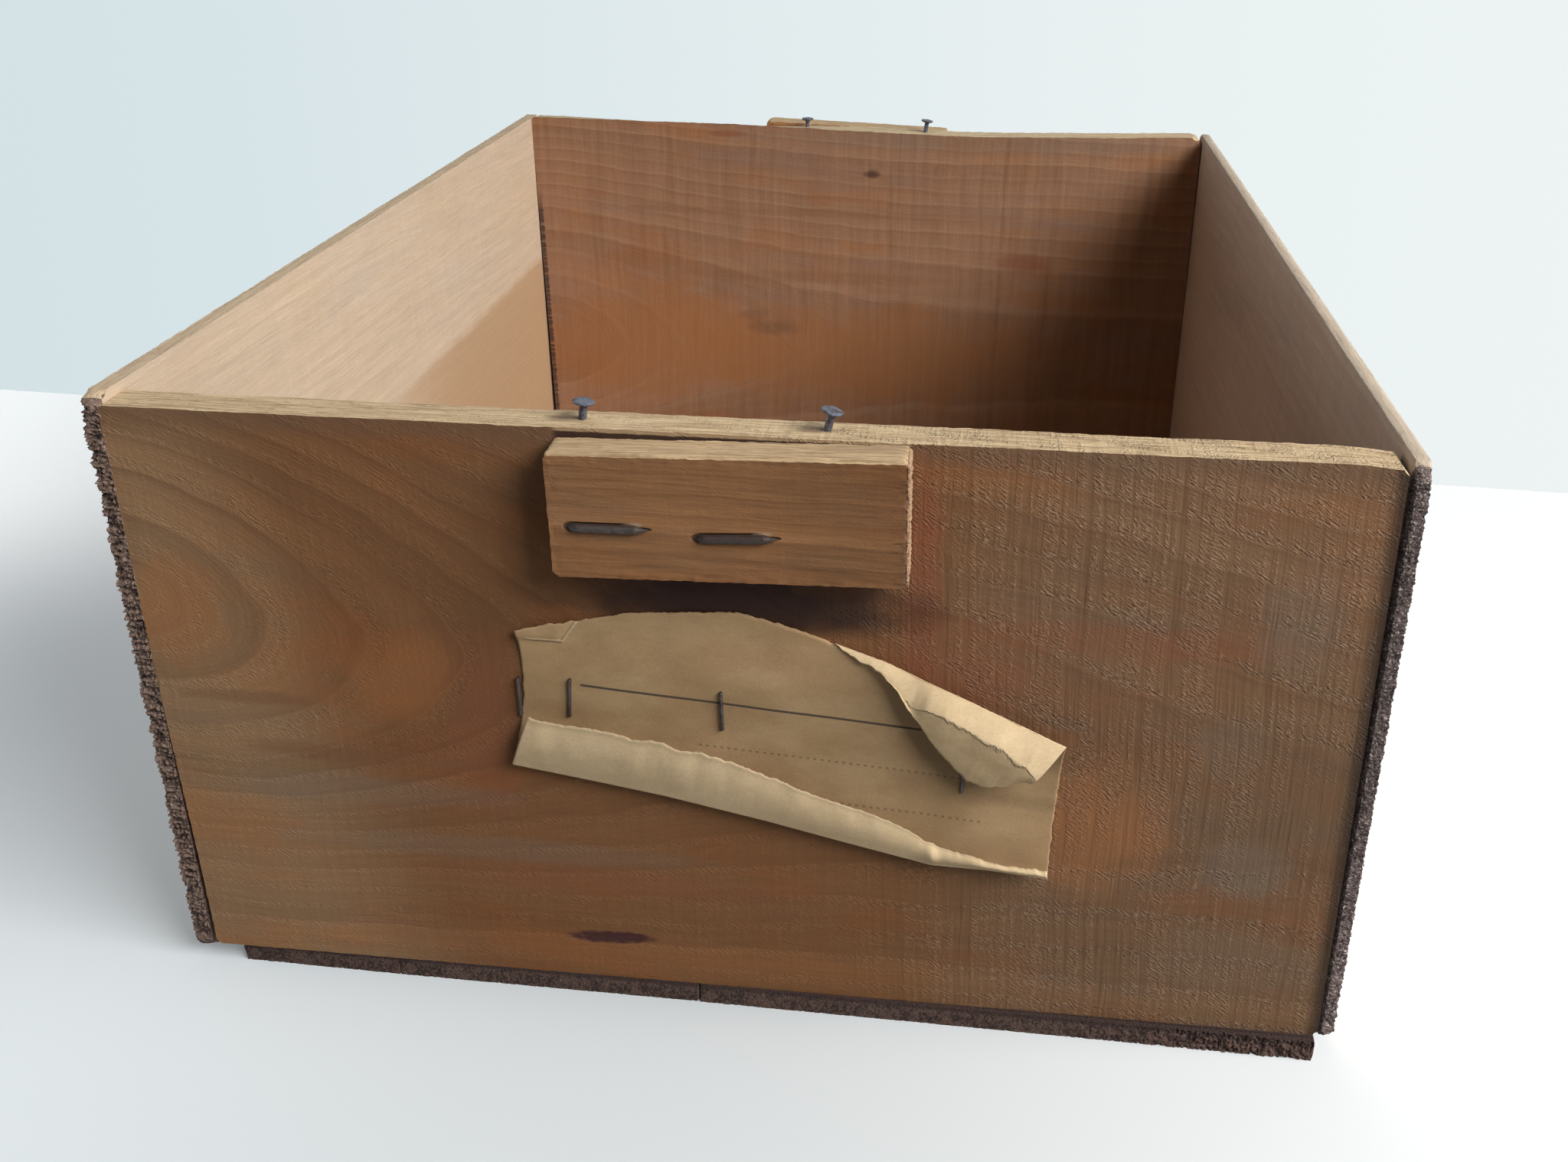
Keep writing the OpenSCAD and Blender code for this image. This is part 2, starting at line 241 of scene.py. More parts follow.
# %% Pine
def pine(name, axes, grain, tones, saw, marks=None, stains_and_shadows=()):
    """Wood whose fibres run along the first axis; the third axis is the face's normal."""
    paint = Paint(name)
    spot = dict(zip("xyz", paint.place()))
    normal = dict(zip("xyz", paint.facing()))
    u, v, w = (spot[a] for a in axes)
    w = w - grain["face"]

    along = u - grain["start"]
    sink = grain["far"] - (grain["far"] - grain["near"]) * math.e ** (
        abs(along) * (-1 / grain["reach"])
    )
    off_heart = v - along * grain["drift"] - grain["heart"]
    below = sink + w
    wander = (paint.noise(u * 0.009, v * 0.02, w * 0.02, detail=1.0) - 0.5) * grain["wander"]
    ripple = (paint.noise(u * 0.05, v * 0.09, w * 0.09) - 0.5) * grain["ripple"]
    radius = (off_heart * off_heart + below * below).math("SQRT") + wander + ripple
    slower = (radius - grain["turn"]).math("MAXIMUM", 0.0)
    rings = radius * (1 / grain["young"]) + slower * (1 / grain["ring"] - 1 / grain["young"])
    share = rings.math("FRACT")
    age = paint.node(
        "ShaderNodeTexWhiteNoise", {"noise_dimensions": "1D"}, {"W": rings.math("FLOOR")}
    )
    late = paint.step(share, 0.25, 0.85) * 0.5 + paint.step(share, 0.72, 0.93) * 0.45
    late = late * (1 - paint.step(share, 0.92, 1.0)) * (age * 0.6 + 0.4)
    spring = 1 - paint.step(share, 0.25, 0.7)
    pale_line = paint.step(share, 0.0, 0.06) * (1 - paint.step(share, 0.08, 0.24))

    streak = paint.noise(u * 0.03, radius * 0.5, w * 0.5, detail=3.0, rough=0.6)
    fibre = paint.noise(u * 0.07, radius * 1.8, w * 1.8, detail=4.0, rough=0.65)
    grit = paint.noise(u * 0.6, v * 1.6, w * 1.6, detail=3.0, rough=0.7)
    blotch = paint.noise(u * 0.016, v * 0.035, w * 0.035, detail=4.0, rough=0.62)
    if "fade" in grain:
        late = late * (paint.step(v + u * 0.12, *grain["fade"]) * 0.7 + 0.3)
    late = late * (paint.step(streak + (blotch - 0.5) * 0.6, 0.3, 0.62) * 0.6 + 0.4)

    stroke = u + v * saw["lean"] + (paint.noise(u * 0.01, v * 0.02, w * 0.02) - 0.5) * 4
    ridge = paint.noise(stroke * saw["pitch"], v * 0.02, w * 0.05, detail=2.0, rough=0.6)
    strip = paint.noise(stroke * 0.11, v * 0.006, w * 0.02, detail=1.0)
    banded = saw.get("banded", 0.0)
    where = saw["where"](paint, u, v) if "where" in saw else 1.0
    where = where * (spring * banded + (1 - banded))
    ridge = ((ridge - 0.5) + (strip - 0.5) * 0.6) * where
    stop = stroke * (1 / 23)
    chance = paint.node(
        "ShaderNodeTexWhiteNoise", {"noise_dimensions": "1D"}, {"W": stop.math("FLOOR")}
    )
    off_cut = abs(stop.math("FRACT") - 0.15 - chance * 0.7) * 23
    cut = (1 - paint.step(off_cut, 0.2, 1.9)) * paint.step(chance, 0.25, 0.9)
    cut = cut * paint.step(blotch + streak * 0.5, 0.55, 0.95) * saw.get("cut", 0.0)

    tone = paint.mix(late * grain["contrast"], tones["early"], tones["late"])
    tone = paint.mix(pale_line * grain.get("pale", 0.0), tone, tones["fleck"])
    tone = paint.mix(paint.step(blotch, 0.46, 0.66) * tones["warmth"], tone, tones["warm"])
    bleak = paint.noise(u * 0.011, v * 0.045, w * 0.045, detail=4.0, rough=0.6)
    tone = paint.mix(paint.step(bleak, 0.48, 0.7) * tones["worn"], tone, tones["grey"])
    light = (
        1.0
        + (age - 0.5) * grain["banding"]
        + (streak - 0.5) * 0.34 * grain.get("streaky", 1.0)
        + (fibre - 0.5) * 0.34 * grain.get("streaky", 1.0)
        + (grit - 0.5) * 0.16
        + ridge * saw["shade"]
        - cut * 0.3
    )
    tone = paint.gain(tone, light)
    height = streak * 0.1 + fibre * 0.1 + grit * 0.05 + ridge * saw["depth"] - cut * 0.15

    curl = paint.noise(u * 0.5 - v * 0.35, u * 1.1 + v * 1.7, w * 1.6, detail=2.0, rough=0.65)
    raised = paint.step(ridge + (streak - 0.5) * 0.5 + pale_line * 0.2, -0.1, 0.14)
    raised = raised * (1 - late * 0.8) * (where * 0.85 + 0.15) * saw["fuzz"]
    # The raised fibres get a painted highlight where they are pale and a painted shade beside them.
    tone = paint.mix(paint.step(curl, 0.53, 0.66) * raised, tone, tones["fleck"])
    tone = paint.mix((1 - paint.step(curl, 0.32, 0.46)) * raised * 0.8, tone, tones["late"])
    height = height + (curl - 0.5) * raised * 1.1
    if marks:
        tone, height = marks(paint, u, v, w, tone, height)

    edge_fibre = paint.noise(u * 0.06, v * 1.2, w * 1.9, detail=4.0, rough=0.7)
    specks = paint.step(paint.noise(u * 0.3, v * 0.9, w * 1.5, detail=3.0), 0.56, 0.68)
    edge_tone = paint.mix(paint.step(edge_fibre, 0.3, 0.64), tones["edge_dark"], tones["edge"])
    edge_tone = paint.mix(specks * 0.6, edge_tone, tones["edge_dark"])
    edge_tone = patches(paint, u, w, edge_tone, stains_and_shadows)
    edge_tone = paint.mix(paint.step(normal[axes[1]], -0.3, 0.1), tones["late"], edge_tone)
    rag = paint.noise(u * 0.35, v * 0.1, w * 0.1, detail=3.0, rough=0.7)
    on_edge = paint.step(abs(normal[axes[1]]) + (rag - 0.5) * 0.7, 0.5, 0.68)
    tone = paint.mix(on_edge, tone, edge_tone)

    if "end" in tones:
        torn, cleft = (
            paint.node("ShaderNodeAttribute", {"attribute_name": key}, out="Fac")
            for key in ("torn", "cleft")
        )
        fine = tones.get("fine", 1.0)
        crumb = paint.noise(u * fine, v * fine, w * fine, detail=4.0, rough=0.7)
        speck = paint.noise(u * 2 * fine, v * 2 * fine, w * 2.2 * fine, detail=2.0, rough=0.6)
        # Torn ends are darker at random crumbs and in the deep clefts; the darkening in the clefts is
        # painted shade.
        dark = paint.step(cleft * 0.9 + (crumb - 0.5) * 1.1 + (speck - 0.5) * 0.9, 0.22, 0.62)
        # The lip darkens the top of a floor board's end: painted shade under the front board.
        dark = dark.math("MAXIMUM", paint.step(w, -1.8, -0.6) * tones.get("lip", 0.0))
        broken = paint.mix(dark, tones["end"], tones["end_dark"])
        glint = paint.step(speck + (crumb - 0.5) * 0.3, 0.57, 0.65) * (1 - dark * 0.6)
        broken = paint.mix(glint * tones["glint"], broken, tones["end_fleck"])
        broken = paint.gain(broken, 1 + (1 - paint.step(v, 10, 90)) * tones.get("low", 0.0))
        on_end = paint.step(torn + (crumb - 0.5) * 0.6, 0.3, 0.6)
        tone = paint.mix(on_end, tone, broken)
        height = height + on_end * (crumb + speck) * 0.35
    return paint.finish(tone, 0.78 + (fibre - 0.5) * 0.25, height)


print("pine is ready to be cut")

# %% [markdown]
# ## The boards' finishes
#
# Each board came from another plank. The front board shows an eye near its left end, and from
# there the figure drifts down to the right, where the saw left upright ridges and lifted pale
# fibres. The back board has close wavy rings near its top edge. The left side board is fresh and
# pale with straight rings, and the floor boards have darkened the most.

# %% Finishes of the boards
END_DARK, END_FLECK, RESIN = (0.040, 0.024, 0.022), (0.55, 0.44, 0.36), (0.045, 0.012, 0.014)
ORANGE, RED, GREY = (0.40, 0.155, 0.052), (0.24, 0.075, 0.034), (0.20, 0.155, 0.115)
SHADE, SHADE_AND_STAIN, BROWN = (0.085, 0.042, 0.026), (0.16, 0.09, 0.05), (0.19, 0.085, 0.038)
AMBER = (0.33, 0.135, 0.046)
BENT_NAILS = (-37.3, 146.2, 0.8), (-7.7, 145.0, 3.0)


def patches(paint, u, v, tone, places):
    """Soft patches of colour, each with a middle, a half width, a half height and a share."""
    if not places:
        return tone
    fray = (paint.noise(u * 0.06, v * 0.09, 0.0, detail=3.0) - 0.5) * 1.6
    for middle_u, middle_v, wide, tall, colour, share in places:
        a, b = (u - middle_u) / wide, (v - middle_v) / tall
        inside = 1 - paint.step(a * a + b * b + fray, 0.1, 1.5)
        tone = paint.mix(inside * share, tone, colour)
    return tone


def front_marks(paint, u, v, w, tone, height):
    right = paint.step(u, 35, 80)
    middle = paint.step(u + v * 0.25, -112, -66) * (1 - right)
    tone = paint.mix(middle, tone, (0.69, 0.54, 0.42), blend="MULTIPLY")
    tone = paint.mix(right, tone, (0.665, 0.635, 0.645), blend="MULTIPLY")
    by_height = paint.step(v, 70, 150) * 0.2 - paint.step(v, 10, 50) * 0.1
    tone = paint.gain(tone, 1 + right * (by_height + 0.02))
    tone = patches(
        paint, u, v, tone,
        [
            (-86, 97, 14, 13, ORANGE, 0.3), (-143, 112, 12, 16, ORANGE, 0.4),
            (-66, 84, 10, 26, RED, 0.35), (43, 132, 5, 30, RED, 0.55),
            (50, 106, 26, 10, RED, 0.45), (88, 119, 50, 5, RED, 0.3),
            (88, 66, 18, 20, ORANGE, 0.45), (-50, 14, 90, 7, ORANGE, 0.15),
            (130, 127, 10, 16, GREY, 0.3), (118, 92, 9, 9, GREY, 0.2),
            (126, 57, 12, 9, GREY, 0.35), (128, 28, 26, 10, GREY, 0.2),
            (-105, 62, 44, 5, GREY, 0.3), (-70, 46, 60, 4, GREY, 0.28),
            (-128, 88, 20, 2.2, BROWN, 0.5), (-92, 72, 34, 2.4, BROWN, 0.55),
            (-118, 74, 16, 2, BROWN, 0.35), (-40, 38, 50, 5, RED, 0.25),
            # The last patch, right under the block, is painted shadow of the block.
            (0, 124, 46, 9, (0.032, 0.012, 0.007), 1.0),
        ],
    )
    long, tall = (u + 36) / 14, (v - 19.5 - (u + 36) * 0.04) / 2.4
    lens = long * long + tall * tall + (paint.noise(u * 0.3, v * 0.6, w) - 0.5) * 1.1
    tone = paint.mix((1 - paint.step(lens, 0.3, 1.0)) * 0.92, tone, RESIN)
    rag = paint.noise(u * 0.16, 0.0, 0.0, detail=3.0, rough=0.7) - 0.5
    # A darker band just under the top arris is painted shade.
    painted_shade_under_top = paint.step(v + rag * 3, 158.5, 164.6) * 0.6
    tone = paint.mix(painted_shade_under_top, tone, SHADE_AND_STAIN)
    behind_block = 1 - paint.step(abs(u + 2), 40, 42)
    # A dark line in the narrow gap above the block is painted shade.
    painted_gap_shade = behind_block * paint.step(v + rag, 162.0, 163.0)
    tone = paint.mix(painted_gap_shade * 0.9, tone, (0.035, 0.018, 0.012))
    lip = behind_block * paint.step(v + rag * 0.8, 165.0, 165.35)
    # Towards its right end the face is darkened: painted shade that also hides the light on the rounded
    # end.
    tone = paint.gain(tone, 1 - paint.step(u + v * 0.027, 147, 151.2) * 0.75)
    return paint.mix(lip * 0.9, tone, (0.42, 0.29, 0.165)), height


def rough_right(paint, u, v):
    """The front board's saw ridges, which fade out below and to the left of the block."""
    return paint.step(u + v * 0.25, 28, 70) * 0.75 + 0.25


def back_marks(paint, u, v, w, tone, height):
    tone = patches(
        paint, u, v, tone,
        [
            (-105, 62, 66, 28, AMBER, 0.7), (0, 58, 85, 24, AMBER, 0.7),
            (75, 106, 13, 4, RED, 0.6), (-62, 161, 9, 1.6, RED, 0.5),
            (-41, 71, 13, 4, SHADE, 0.35), (-50, 77, 8, 3, SHADE, 0.25),
            (4, 144.4, 4, 1.8, RESIN, 0.6), (60, 160, 90, 5, GREY, 0.35),
            (-20, 96, 60, 3, BROWN, 0.3), (-20, 126, 110, 2, BROWN, 0.25),
        ],
    )
    nick = paint.noise(v * 0.5, 0.0, 0.0, detail=3.0, rough=0.7) * 2.4
    left_end = 1 - paint.step(u + 150 + v * 0.01875 - nick * 1.4, 0.0, 0.7)
    left_end = left_end * (1 - paint.step(v, 122, 134)) * paint.step(nick, 0.7, 1.3)
    return paint.mix(left_end * 0.85, tone, END_DARK), height


def left_marks(paint, u, v, w, tone, height):
    """Inside, below a line that sags towards the back, the left board is tanned."""
    tone = paint.gain(tone, paint.step(u, -190, -60) * 0.07 + 0.93)
    line = v - 101 - (paint.noise(u * 0.02, v * 0.01, 0.0) - 0.5) * 8
    low = (1 - paint.step(line, -3, 3)) * paint.step(u, -70, 60) * paint.step(w, -4, -2)
    return paint.mix(low * 0.85, tone, (0.435, 0.26, 0.133)), height


def right_marks(paint, u, v, w, tone, height):
    """The right board is a little darker towards the back."""
    return paint.gain(tone, 1.14 - paint.step(u, -120, 150) * 0.24), height


def floor_marks(paint, u, v, w, tone, height):
    """The boards differ a little, dirt has settled in their joints, and the front lip is darkened as
    painted shade under the front board.
    """
    tone = paint.gain(tone, 1.1 - paint.step(v, -97.2, -97.0) * 0.3 + paint.step(v, -12.5, -12.3) * 0.2)
    joint = abs(v + 97.1).math("MINIMUM", abs(v + 12.4))
    tone = paint.mix((1 - paint.step(joint, 0.3, 0.8)) * 0.9, tone, END_DARK)
    # The front lip of the floor boards' top is darkened: painted shade under the front board.
    return paint.mix(1 - paint.step(u, -200.5, -197), tone, END_DARK), height


def block_marks(paint, u, v, w, tone, height):
    """The bent-over nails have bruised the front block. The dark line along their upper side and the dark
    pits at both ends are partly bruise and partly painted shade of the groove and the holes, and a pale
    spot above each tip is a painted highlight.
    """
    near = 1 - paint.step(w, 3, 6)
    tone = paint.gain(tone, 1 - paint.step(u, -10, 36) * near * 0.2)
    for foot_u, foot_v, turn in BENT_NAILS:
        slope = math.tan(math.radians(turn))
        a, b = u - foot_u, v - foot_v - (u - foot_u) * slope
        line = (1 - paint.step(abs(b - 0.95), 0.1, 0.45)) * paint.step(a, -1.5, 0.5)
        line = line * (1 - paint.step(a, 11, 15))
        pit = 1 - paint.step((a + 0.3) * (a + 0.3) * 0.5 + b * b, 0.5, 1.6)
        tip = 1 - paint.step((a - 16.8) * (a - 16.8) * 0.2 + b * b * 3.5, 0.3, 1.0)
        bruise_and_shade = line.math("MAXIMUM", pit).math("MAXIMUM", tip) * near
        # A pale spot above each tip is a painted highlight.
        above = (a - 14.5) * (a - 14.5) * 0.2 + (b - 1.1) * (b - 1.1) * 4
        chip = 1 - paint.step(above, 0.5, 1.5)
        tone = paint.mix(bruise_and_shade * 0.9, tone, (0.030, 0.018, 0.013))
        tone = paint.mix(chip * near * 0.6, tone, (0.48, 0.36, 0.25))
        height = height - bruise_and_shade * 0.5
    split = paint.step(paint.noise(u * 0.12, v * 1.3, 4.0, detail=3.0, rough=0.7), 0.52, 0.62)
    reach = paint.noise(v * 0.8, 2.0, 0.0, detail=2.0) * 6
    split = split * paint.step(u + reach, 38, 41) * near
    tone = paint.mix(split * 0.75, tone, (0.10, 0.045, 0.022))
    tips = paint.step(u + reach * 0.2, 39.2, 40.6) * (1 - split) * near
    return paint.mix(tips * 0.6, tone, (0.50, 0.33, 0.21)), height


front_wood = pine(
    "front board pine",
    "xzy",
    dict(face=-200, start=-155, heart=116, drift=-0.14, near=0, far=85, reach=110, young=12,
         turn=42, ring=5.9, wander=7, ripple=2.6, contrast=0.66, banding=0.2,
         fade=(10, 95)),
    dict(early=(0.305, 0.174, 0.084), late=(0.145, 0.07, 0.035), warm=(0.33, 0.152, 0.062),
         warmth=0.7, grey=(0.235, 0.152, 0.09), worn=0.5, fleck=(0.46, 0.31, 0.19),
         edge=(0.66, 0.49, 0.29), edge_dark=(0.30, 0.19, 0.095)),
    dict(lean=0.03, pitch=0.52, shade=0.75, depth=0.45, fuzz=1.0, banded=0.35, where=rough_right),
    marks=front_marks,
    # Dark marks just left of the two lid nails on the top edge are partly stain and partly painted shadow
    # of the nails.
    stains_and_shadows=[(-40.5, 6, 5, 2, SHADE_AND_STAIN, 0.6), (17.5, 6, 5, 2, SHADE_AND_STAIN, 0.6)],
)
back_wood = pine(
    "back board pine",
    "xzy",
    dict(face=188, start=-149, heart=60, drift=0.0, near=0, far=52, reach=60, young=11,
         turn=66, ring=5.3, wander=5, ripple=2.4, contrast=0.6, banding=0.16, pale=0.12,
         fade=(30, 125), streaky=0.6),
    dict(early=(0.305, 0.159, 0.088), late=(0.19, 0.088, 0.046), warm=(0.315, 0.132, 0.049),
         warmth=0.6, grey=(0.25, 0.15, 0.105), worn=0.5, fleck=(0.47, 0.32, 0.21),
         edge=(0.64, 0.49, 0.30), edge_dark=(0.36, 0.25, 0.14)),
    dict(lean=0.0, pitch=0.34, shade=0.42, depth=0.2, fuzz=0.12, cut=0.6),
    marks=back_marks,
)
left_wood = pine(
    "left board pine",
    "yzx",
    dict(face=-150, start=0, heart=-90, drift=-0.03, near=30, far=40, reach=200, young=4.6,
         turn=0, ring=4.6, wander=3, ripple=0.6, contrast=0.4, banding=0.06),
    dict(early=(0.60, 0.46, 0.325), late=(0.49, 0.33, 0.21), warm=(0.58, 0.425, 0.28),
         warmth=0.5, grey=(0.555, 0.45, 0.35), worn=0.4, fleck=(0.68, 0.55, 0.41),
         edge=(0.60, 0.46, 0.30), edge_dark=(0.40, 0.27, 0.165),
         end_dark=(0.052, 0.03, 0.026), end=(0.215, 0.14, 0.105), end_fleck=END_FLECK, glint=0.6),
    dict(lean=0.0, pitch=0.3, shade=0.1, depth=0.07, fuzz=0.1),
    marks=left_marks,
    stains_and_shadows=[(-197, -3, 0.9, 0.6, END_DARK, 0.9), (-191, -2.5, 1.1, 0.6, END_DARK, 0.9),
            (-184, -2.6, 1.2, 0.5, END_DARK, 0.8)],
)
right_wood = pine(
    "right board pine",
    "yzx",
    dict(face=150, start=0, heart=-60, drift=-0.02, near=30, far=40, reach=200, young=5.2,
         turn=0, ring=5.2, wander=4, ripple=1, contrast=0.35, banding=0.06),
    dict(early=(0.575, 0.44, 0.34), late=(0.46, 0.335, 0.25), warm=(0.55, 0.385, 0.28),
         warmth=0.4, grey=(0.47, 0.38, 0.325), worn=0.5, fleck=(0.62, 0.48, 0.36),
         edge=(0.53, 0.425, 0.32), edge_dark=(0.36, 0.28, 0.20), end_dark=(0.034, 0.025, 0.025),
         end=(0.14, 0.10, 0.09), end_fleck=(0.68, 0.58, 0.50), glint=1.0,
         fine=0.95, low=0.5),
    dict(lean=0.0, pitch=0.3, shade=0.12, depth=0.08, fuzz=0.1),
    marks=right_marks,
)
floor_wood = pine(
    "floor board pine",
    "yxz",
    dict(face=6, start=0, heart=-70, drift=0.02, near=25, far=50, reach=200, young=6,
         turn=0, ring=6, wander=8, ripple=2, contrast=0.5, banding=0.15),
    dict(early=(0.33, 0.19, 0.11), late=(0.21, 0.11, 0.06), warm=(0.36, 0.19, 0.09),
         warmth=0.6, grey=(0.25, 0.17, 0.12), worn=0.6, fleck=(0.45, 0.32, 0.2),
         edge=(0.17, 0.10, 0.07), edge_dark=(0.07, 0.042, 0.033),
         end_dark=(0.04, 0.022, 0.019), end=(0.118, 0.07, 0.054), end_fleck=(0.34, 0.24, 0.18),
         glint=0.3, lip=0.9),
    dict(lean=0.0, pitch=0.36, shade=0.2, depth=0.15, fuzz=0.12),
    marks=floor_marks,
)
cleat_wood = pine(
    "handle block pine",
    "xzy",
    dict(face=-211, start=-60, heart=60, drift=0.02, near=60, far=70, reach=200, young=4.2,
         turn=0, ring=4.2, wander=4, ripple=1.4, contrast=0.95, banding=0.4,
         streaky=2.4),
    dict(early=(0.305, 0.143, 0.057), late=(0.155, 0.065, 0.026), warm=(0.30, 0.12, 0.04),
         warmth=0.6, grey=(0.25, 0.135, 0.068), worn=0.5, fleck=(0.50, 0.34, 0.20),
         edge=(0.575, 0.405, 0.225), edge_dark=(0.28, 0.175, 0.09), end_dark=(0.14, 0.07, 0.04),
         end=(0.40, 0.245, 0.14), end_fleck=(0.56, 0.40, 0.27), glint=0.7),
    dict(lean=0.0, pitch=0.4, shade=0.08, depth=0.05, fuzz=0.07),
    marks=block_marks,
)
print("finishes:", [m.name for m in bpy.data.materials if "pine" in m.name])

# %% [markdown]
# ## A worn board
#
# A sawn board is a box that has lost its crispness. It starts as a cube at the board's size, its
# top is racked and its corners are bevelled, as much as each is worn. A voxel remesh then gives it
# an even skin of small faces, which is what Displace needs: it can dent a corner as easily as the
# middle of a face. Weights by place say where each kind of damage goes. Modelling every dent by
# hand would give the same look for a hundred times the work.


# %% Board helpers
def edit(piece):
    bpy.ops.object.mode_set(mode="EDIT")
    bpy.ops.mesh.select_all(action="DESELECT")
    return bmesh.from_edit_mesh(piece.data)


def show(piece, mesh):
    bmesh.update_edit_mesh(piece.data)
    mesh.select_flush_mode()


def pick_verts(piece, wanted):
    mesh = edit(piece)
    bpy.ops.mesh.select_mode(type="VERT")
    for vert in mesh.verts:
        vert.select = wanted(vert.co / MM)
    show(piece, mesh)


def pick_edge(piece, axis, spot):
    """Selects the edge that runs along an axis and passes nearest a spot."""
    mesh = edit(piece)
    bpy.ops.mesh.select_mode(type="EDGE")

    def straight(e):
        line = (e.verts[1].co - e.verts[0].co).normalized()
        return abs(line[axis]) > 0.99

    def distance(e):
        gap = (e.verts[0].co + e.verts[1].co) / 2 / MM - Vector(spot)
        gap[axis] = 0
        return gap.length

    min((e for e in mesh.edges if straight(e)), key=distance).select_set(True)
    bmesh.update_edit_mesh(piece.data)


def leave_edit():
    bpy.ops.object.mode_set(mode="OBJECT")


def apply_modifiers(piece):
    for modifier in list(piece.modifiers):
        bpy.ops.object.modifier_apply(modifier=modifier.name)


def clouds(name, size, depth=2, basis="IMPROVED_PERLIN"):
    texture = bpy.data.textures.new(name, "CLOUDS")
    texture.noise_scale, texture.noise_depth = size * MM, depth
    texture.noise_basis, texture.cloud_type = basis, "COLOR"
    return texture


def weigh(piece, name, weight):
    group = piece.vertex_groups.new(name=name)
    for vert in piece.data.vertices:
        share = weight(vert.co / MM)
        if share > 0.01:
            group.add([vert.index], min(share, 1.0), "REPLACE")


def displace(piece, texture, strength, group, direction="RGB_TO_XYZ", mid=0.5):
    modifier = piece.modifiers.new(texture.name, "DISPLACE")
    modifier.texture, modifier.strength, modifier.mid_level = texture, strength * MM, mid
    modifier.direction, modifier.vertex_group = direction, group


def ramp(value, low, high):
    share = min(max((value - low) / (high - low), 0.0), 1.0)
    return share * share * (3 - 2 * share)


CHIPS = clouds("chips", 3.0, 3)
WAVES = clouds("waves", 45.0, 1)
print("board helpers ready")


# %% Board builder
def tear(piece, length, thick, outer, amount, rows, lumps, crumbs, size=1.7, reach=2.8):
    """Tears both sawn ends. Rows are the clefts that the saw left across the end, lumps are
    bundles of fibres and crumbs single ones. The finish reads how torn and how deep it is."""
    torn = piece.data.attributes.new("torn", "FLOAT", "POINT")
    cleft = piece.data.attributes.new("cleft", "FLOAT", "POINT")
    for vert in piece.data.vertices:
        p = vert.co / MM
        end = -1 if p.x < length / 2 else 1
        share = 1 - ramp(p.x if end < 0 else length - p.x, 0.15 * reach, reach)
        strength = amount(p, end)
        if share * strength < 0.01:
            continue
        row = noise.noise(Vector((end * 31.7, p.y * 0.25, p.z * 1.25)))
        lump = noise.noise(Vector((end * 11.3, p.y * 0.3, p.z * 0.42)))
        crumb = noise.fractal(Vector((p.x * 0.8 + end * 7.3, p.y * 1.2, p.z * 1.5)), 0.7, 2.1, 3)
        deep = min(max(0.42 - rows * row - lumps * lump - crumbs * crumb, 0.0), 1.0)
        torn.data[vert.index].value = share * min(strength * 4, 1.0)
        cleft.data[vert.index].value = share * deep
        rim = ramp(p.y if outer > 0 else thick - p.y, thick * 0.5, thick)
        out = share * strength * (0.4 - deep)
        vert.co.x += end * size * out * MM
        vert.co.y += outer * 0.9 * size * rim * out * MM


def worn_board(name, size, corners, shift=0.0, fall=0.0, rounds=(), skin=1.25,
               chip=0.7, wave=0.5, right_shift=None, warp=None, torn=None):
    """A board with its length along X, its thickness along Y and its height along Z."""
    length, thick, height = size
    bpy.ops.mesh.primitive_cube_add(
        size=1, location=[s * MM / 2 for s in size], scale=[s * MM for s in size]
    )
    piece = bpy.context.object
    piece.name = piece.data.name = name
    bpy.ops.object.transform_apply()
    outline = [(0, 0), (length, 0), (length, height), (0, height)]
    for (x, z), radius in zip(outline, corners):
        pick_edge(piece, 1, (x, 0, z))
        bpy.ops.mesh.bevel(offset=radius * MM, segments=5)
        leave_edit()
    for y, z, radius in rounds:
        pick_edge(piece, 0, (0, y, z))
        bpy.ops.mesh.bevel(offset=radius * MM, segments=4)
        leave_edit()
    fine = piece.modifiers.new("even skin", "REMESH")
    fine.mode, fine.voxel_size, fine.use_smooth_shade = "VOXEL", skin * MM, True
    apply_modifiers(piece)

    def near_arris(p):
        edges = sorted((min(p.y, thick - p.y), min(p.z, height - p.z), min(p.x, length - p.x)))
        return (1 - ramp(edges[1], 0.5, 3.0)) * (1 - ramp(edges[0], 0.5, 2.0))

    weigh(piece, "arris", near_arris)
    weigh(piece, "top", lambda p: ramp(p.z, height - 9, height))
    displace(piece, CHIPS, chip, "arris", mid=0.5)
    if wave:
        displace(piece, WAVES, wave * 2, "top", "Z")
    apply_modifiers(piece)
    piece.vertex_groups.clear()
    if torn:
        for near_end in (lambda p: p.x < 3.0), (lambda p: p.x > length - 3.0):
            pick_verts(piece, near_end)
            bpy.ops.mesh.select_mode(type="FACE")
            bpy.ops.mesh.subdivide(number_cuts=3)
            leave_edit()
        tear(piece, length, thick, **torn)
    far_shift = shift if right_shift is None else right_shift
    for vert in piece.data.vertices:
        p = vert.co / MM
        far, high = p.x / length, p.z / height
        p -= Vector((shift + (far_shift - shift) * far, 0, fall * far)) * high
        vert.co = (p + Vector(warp(p))) * MM if warp else p * MM
    return piece


def put_in_place(piece, matrix, wood, node, smooth=32):
    piece.matrix_world = matrix
    bpy.ops.object.transform_apply()
    bpy.ops.object.shade_smooth_by_angle(angle=math.radians(smooth))
    piece.data.materials.clear()
    piece.data.materials.append(wood)
    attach(piece, "root")
    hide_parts(node)
    bpy.ops.object.select_all(action="DESELECT")
    print(piece.name, len(piece.data.polygons), "faces")
    return piece


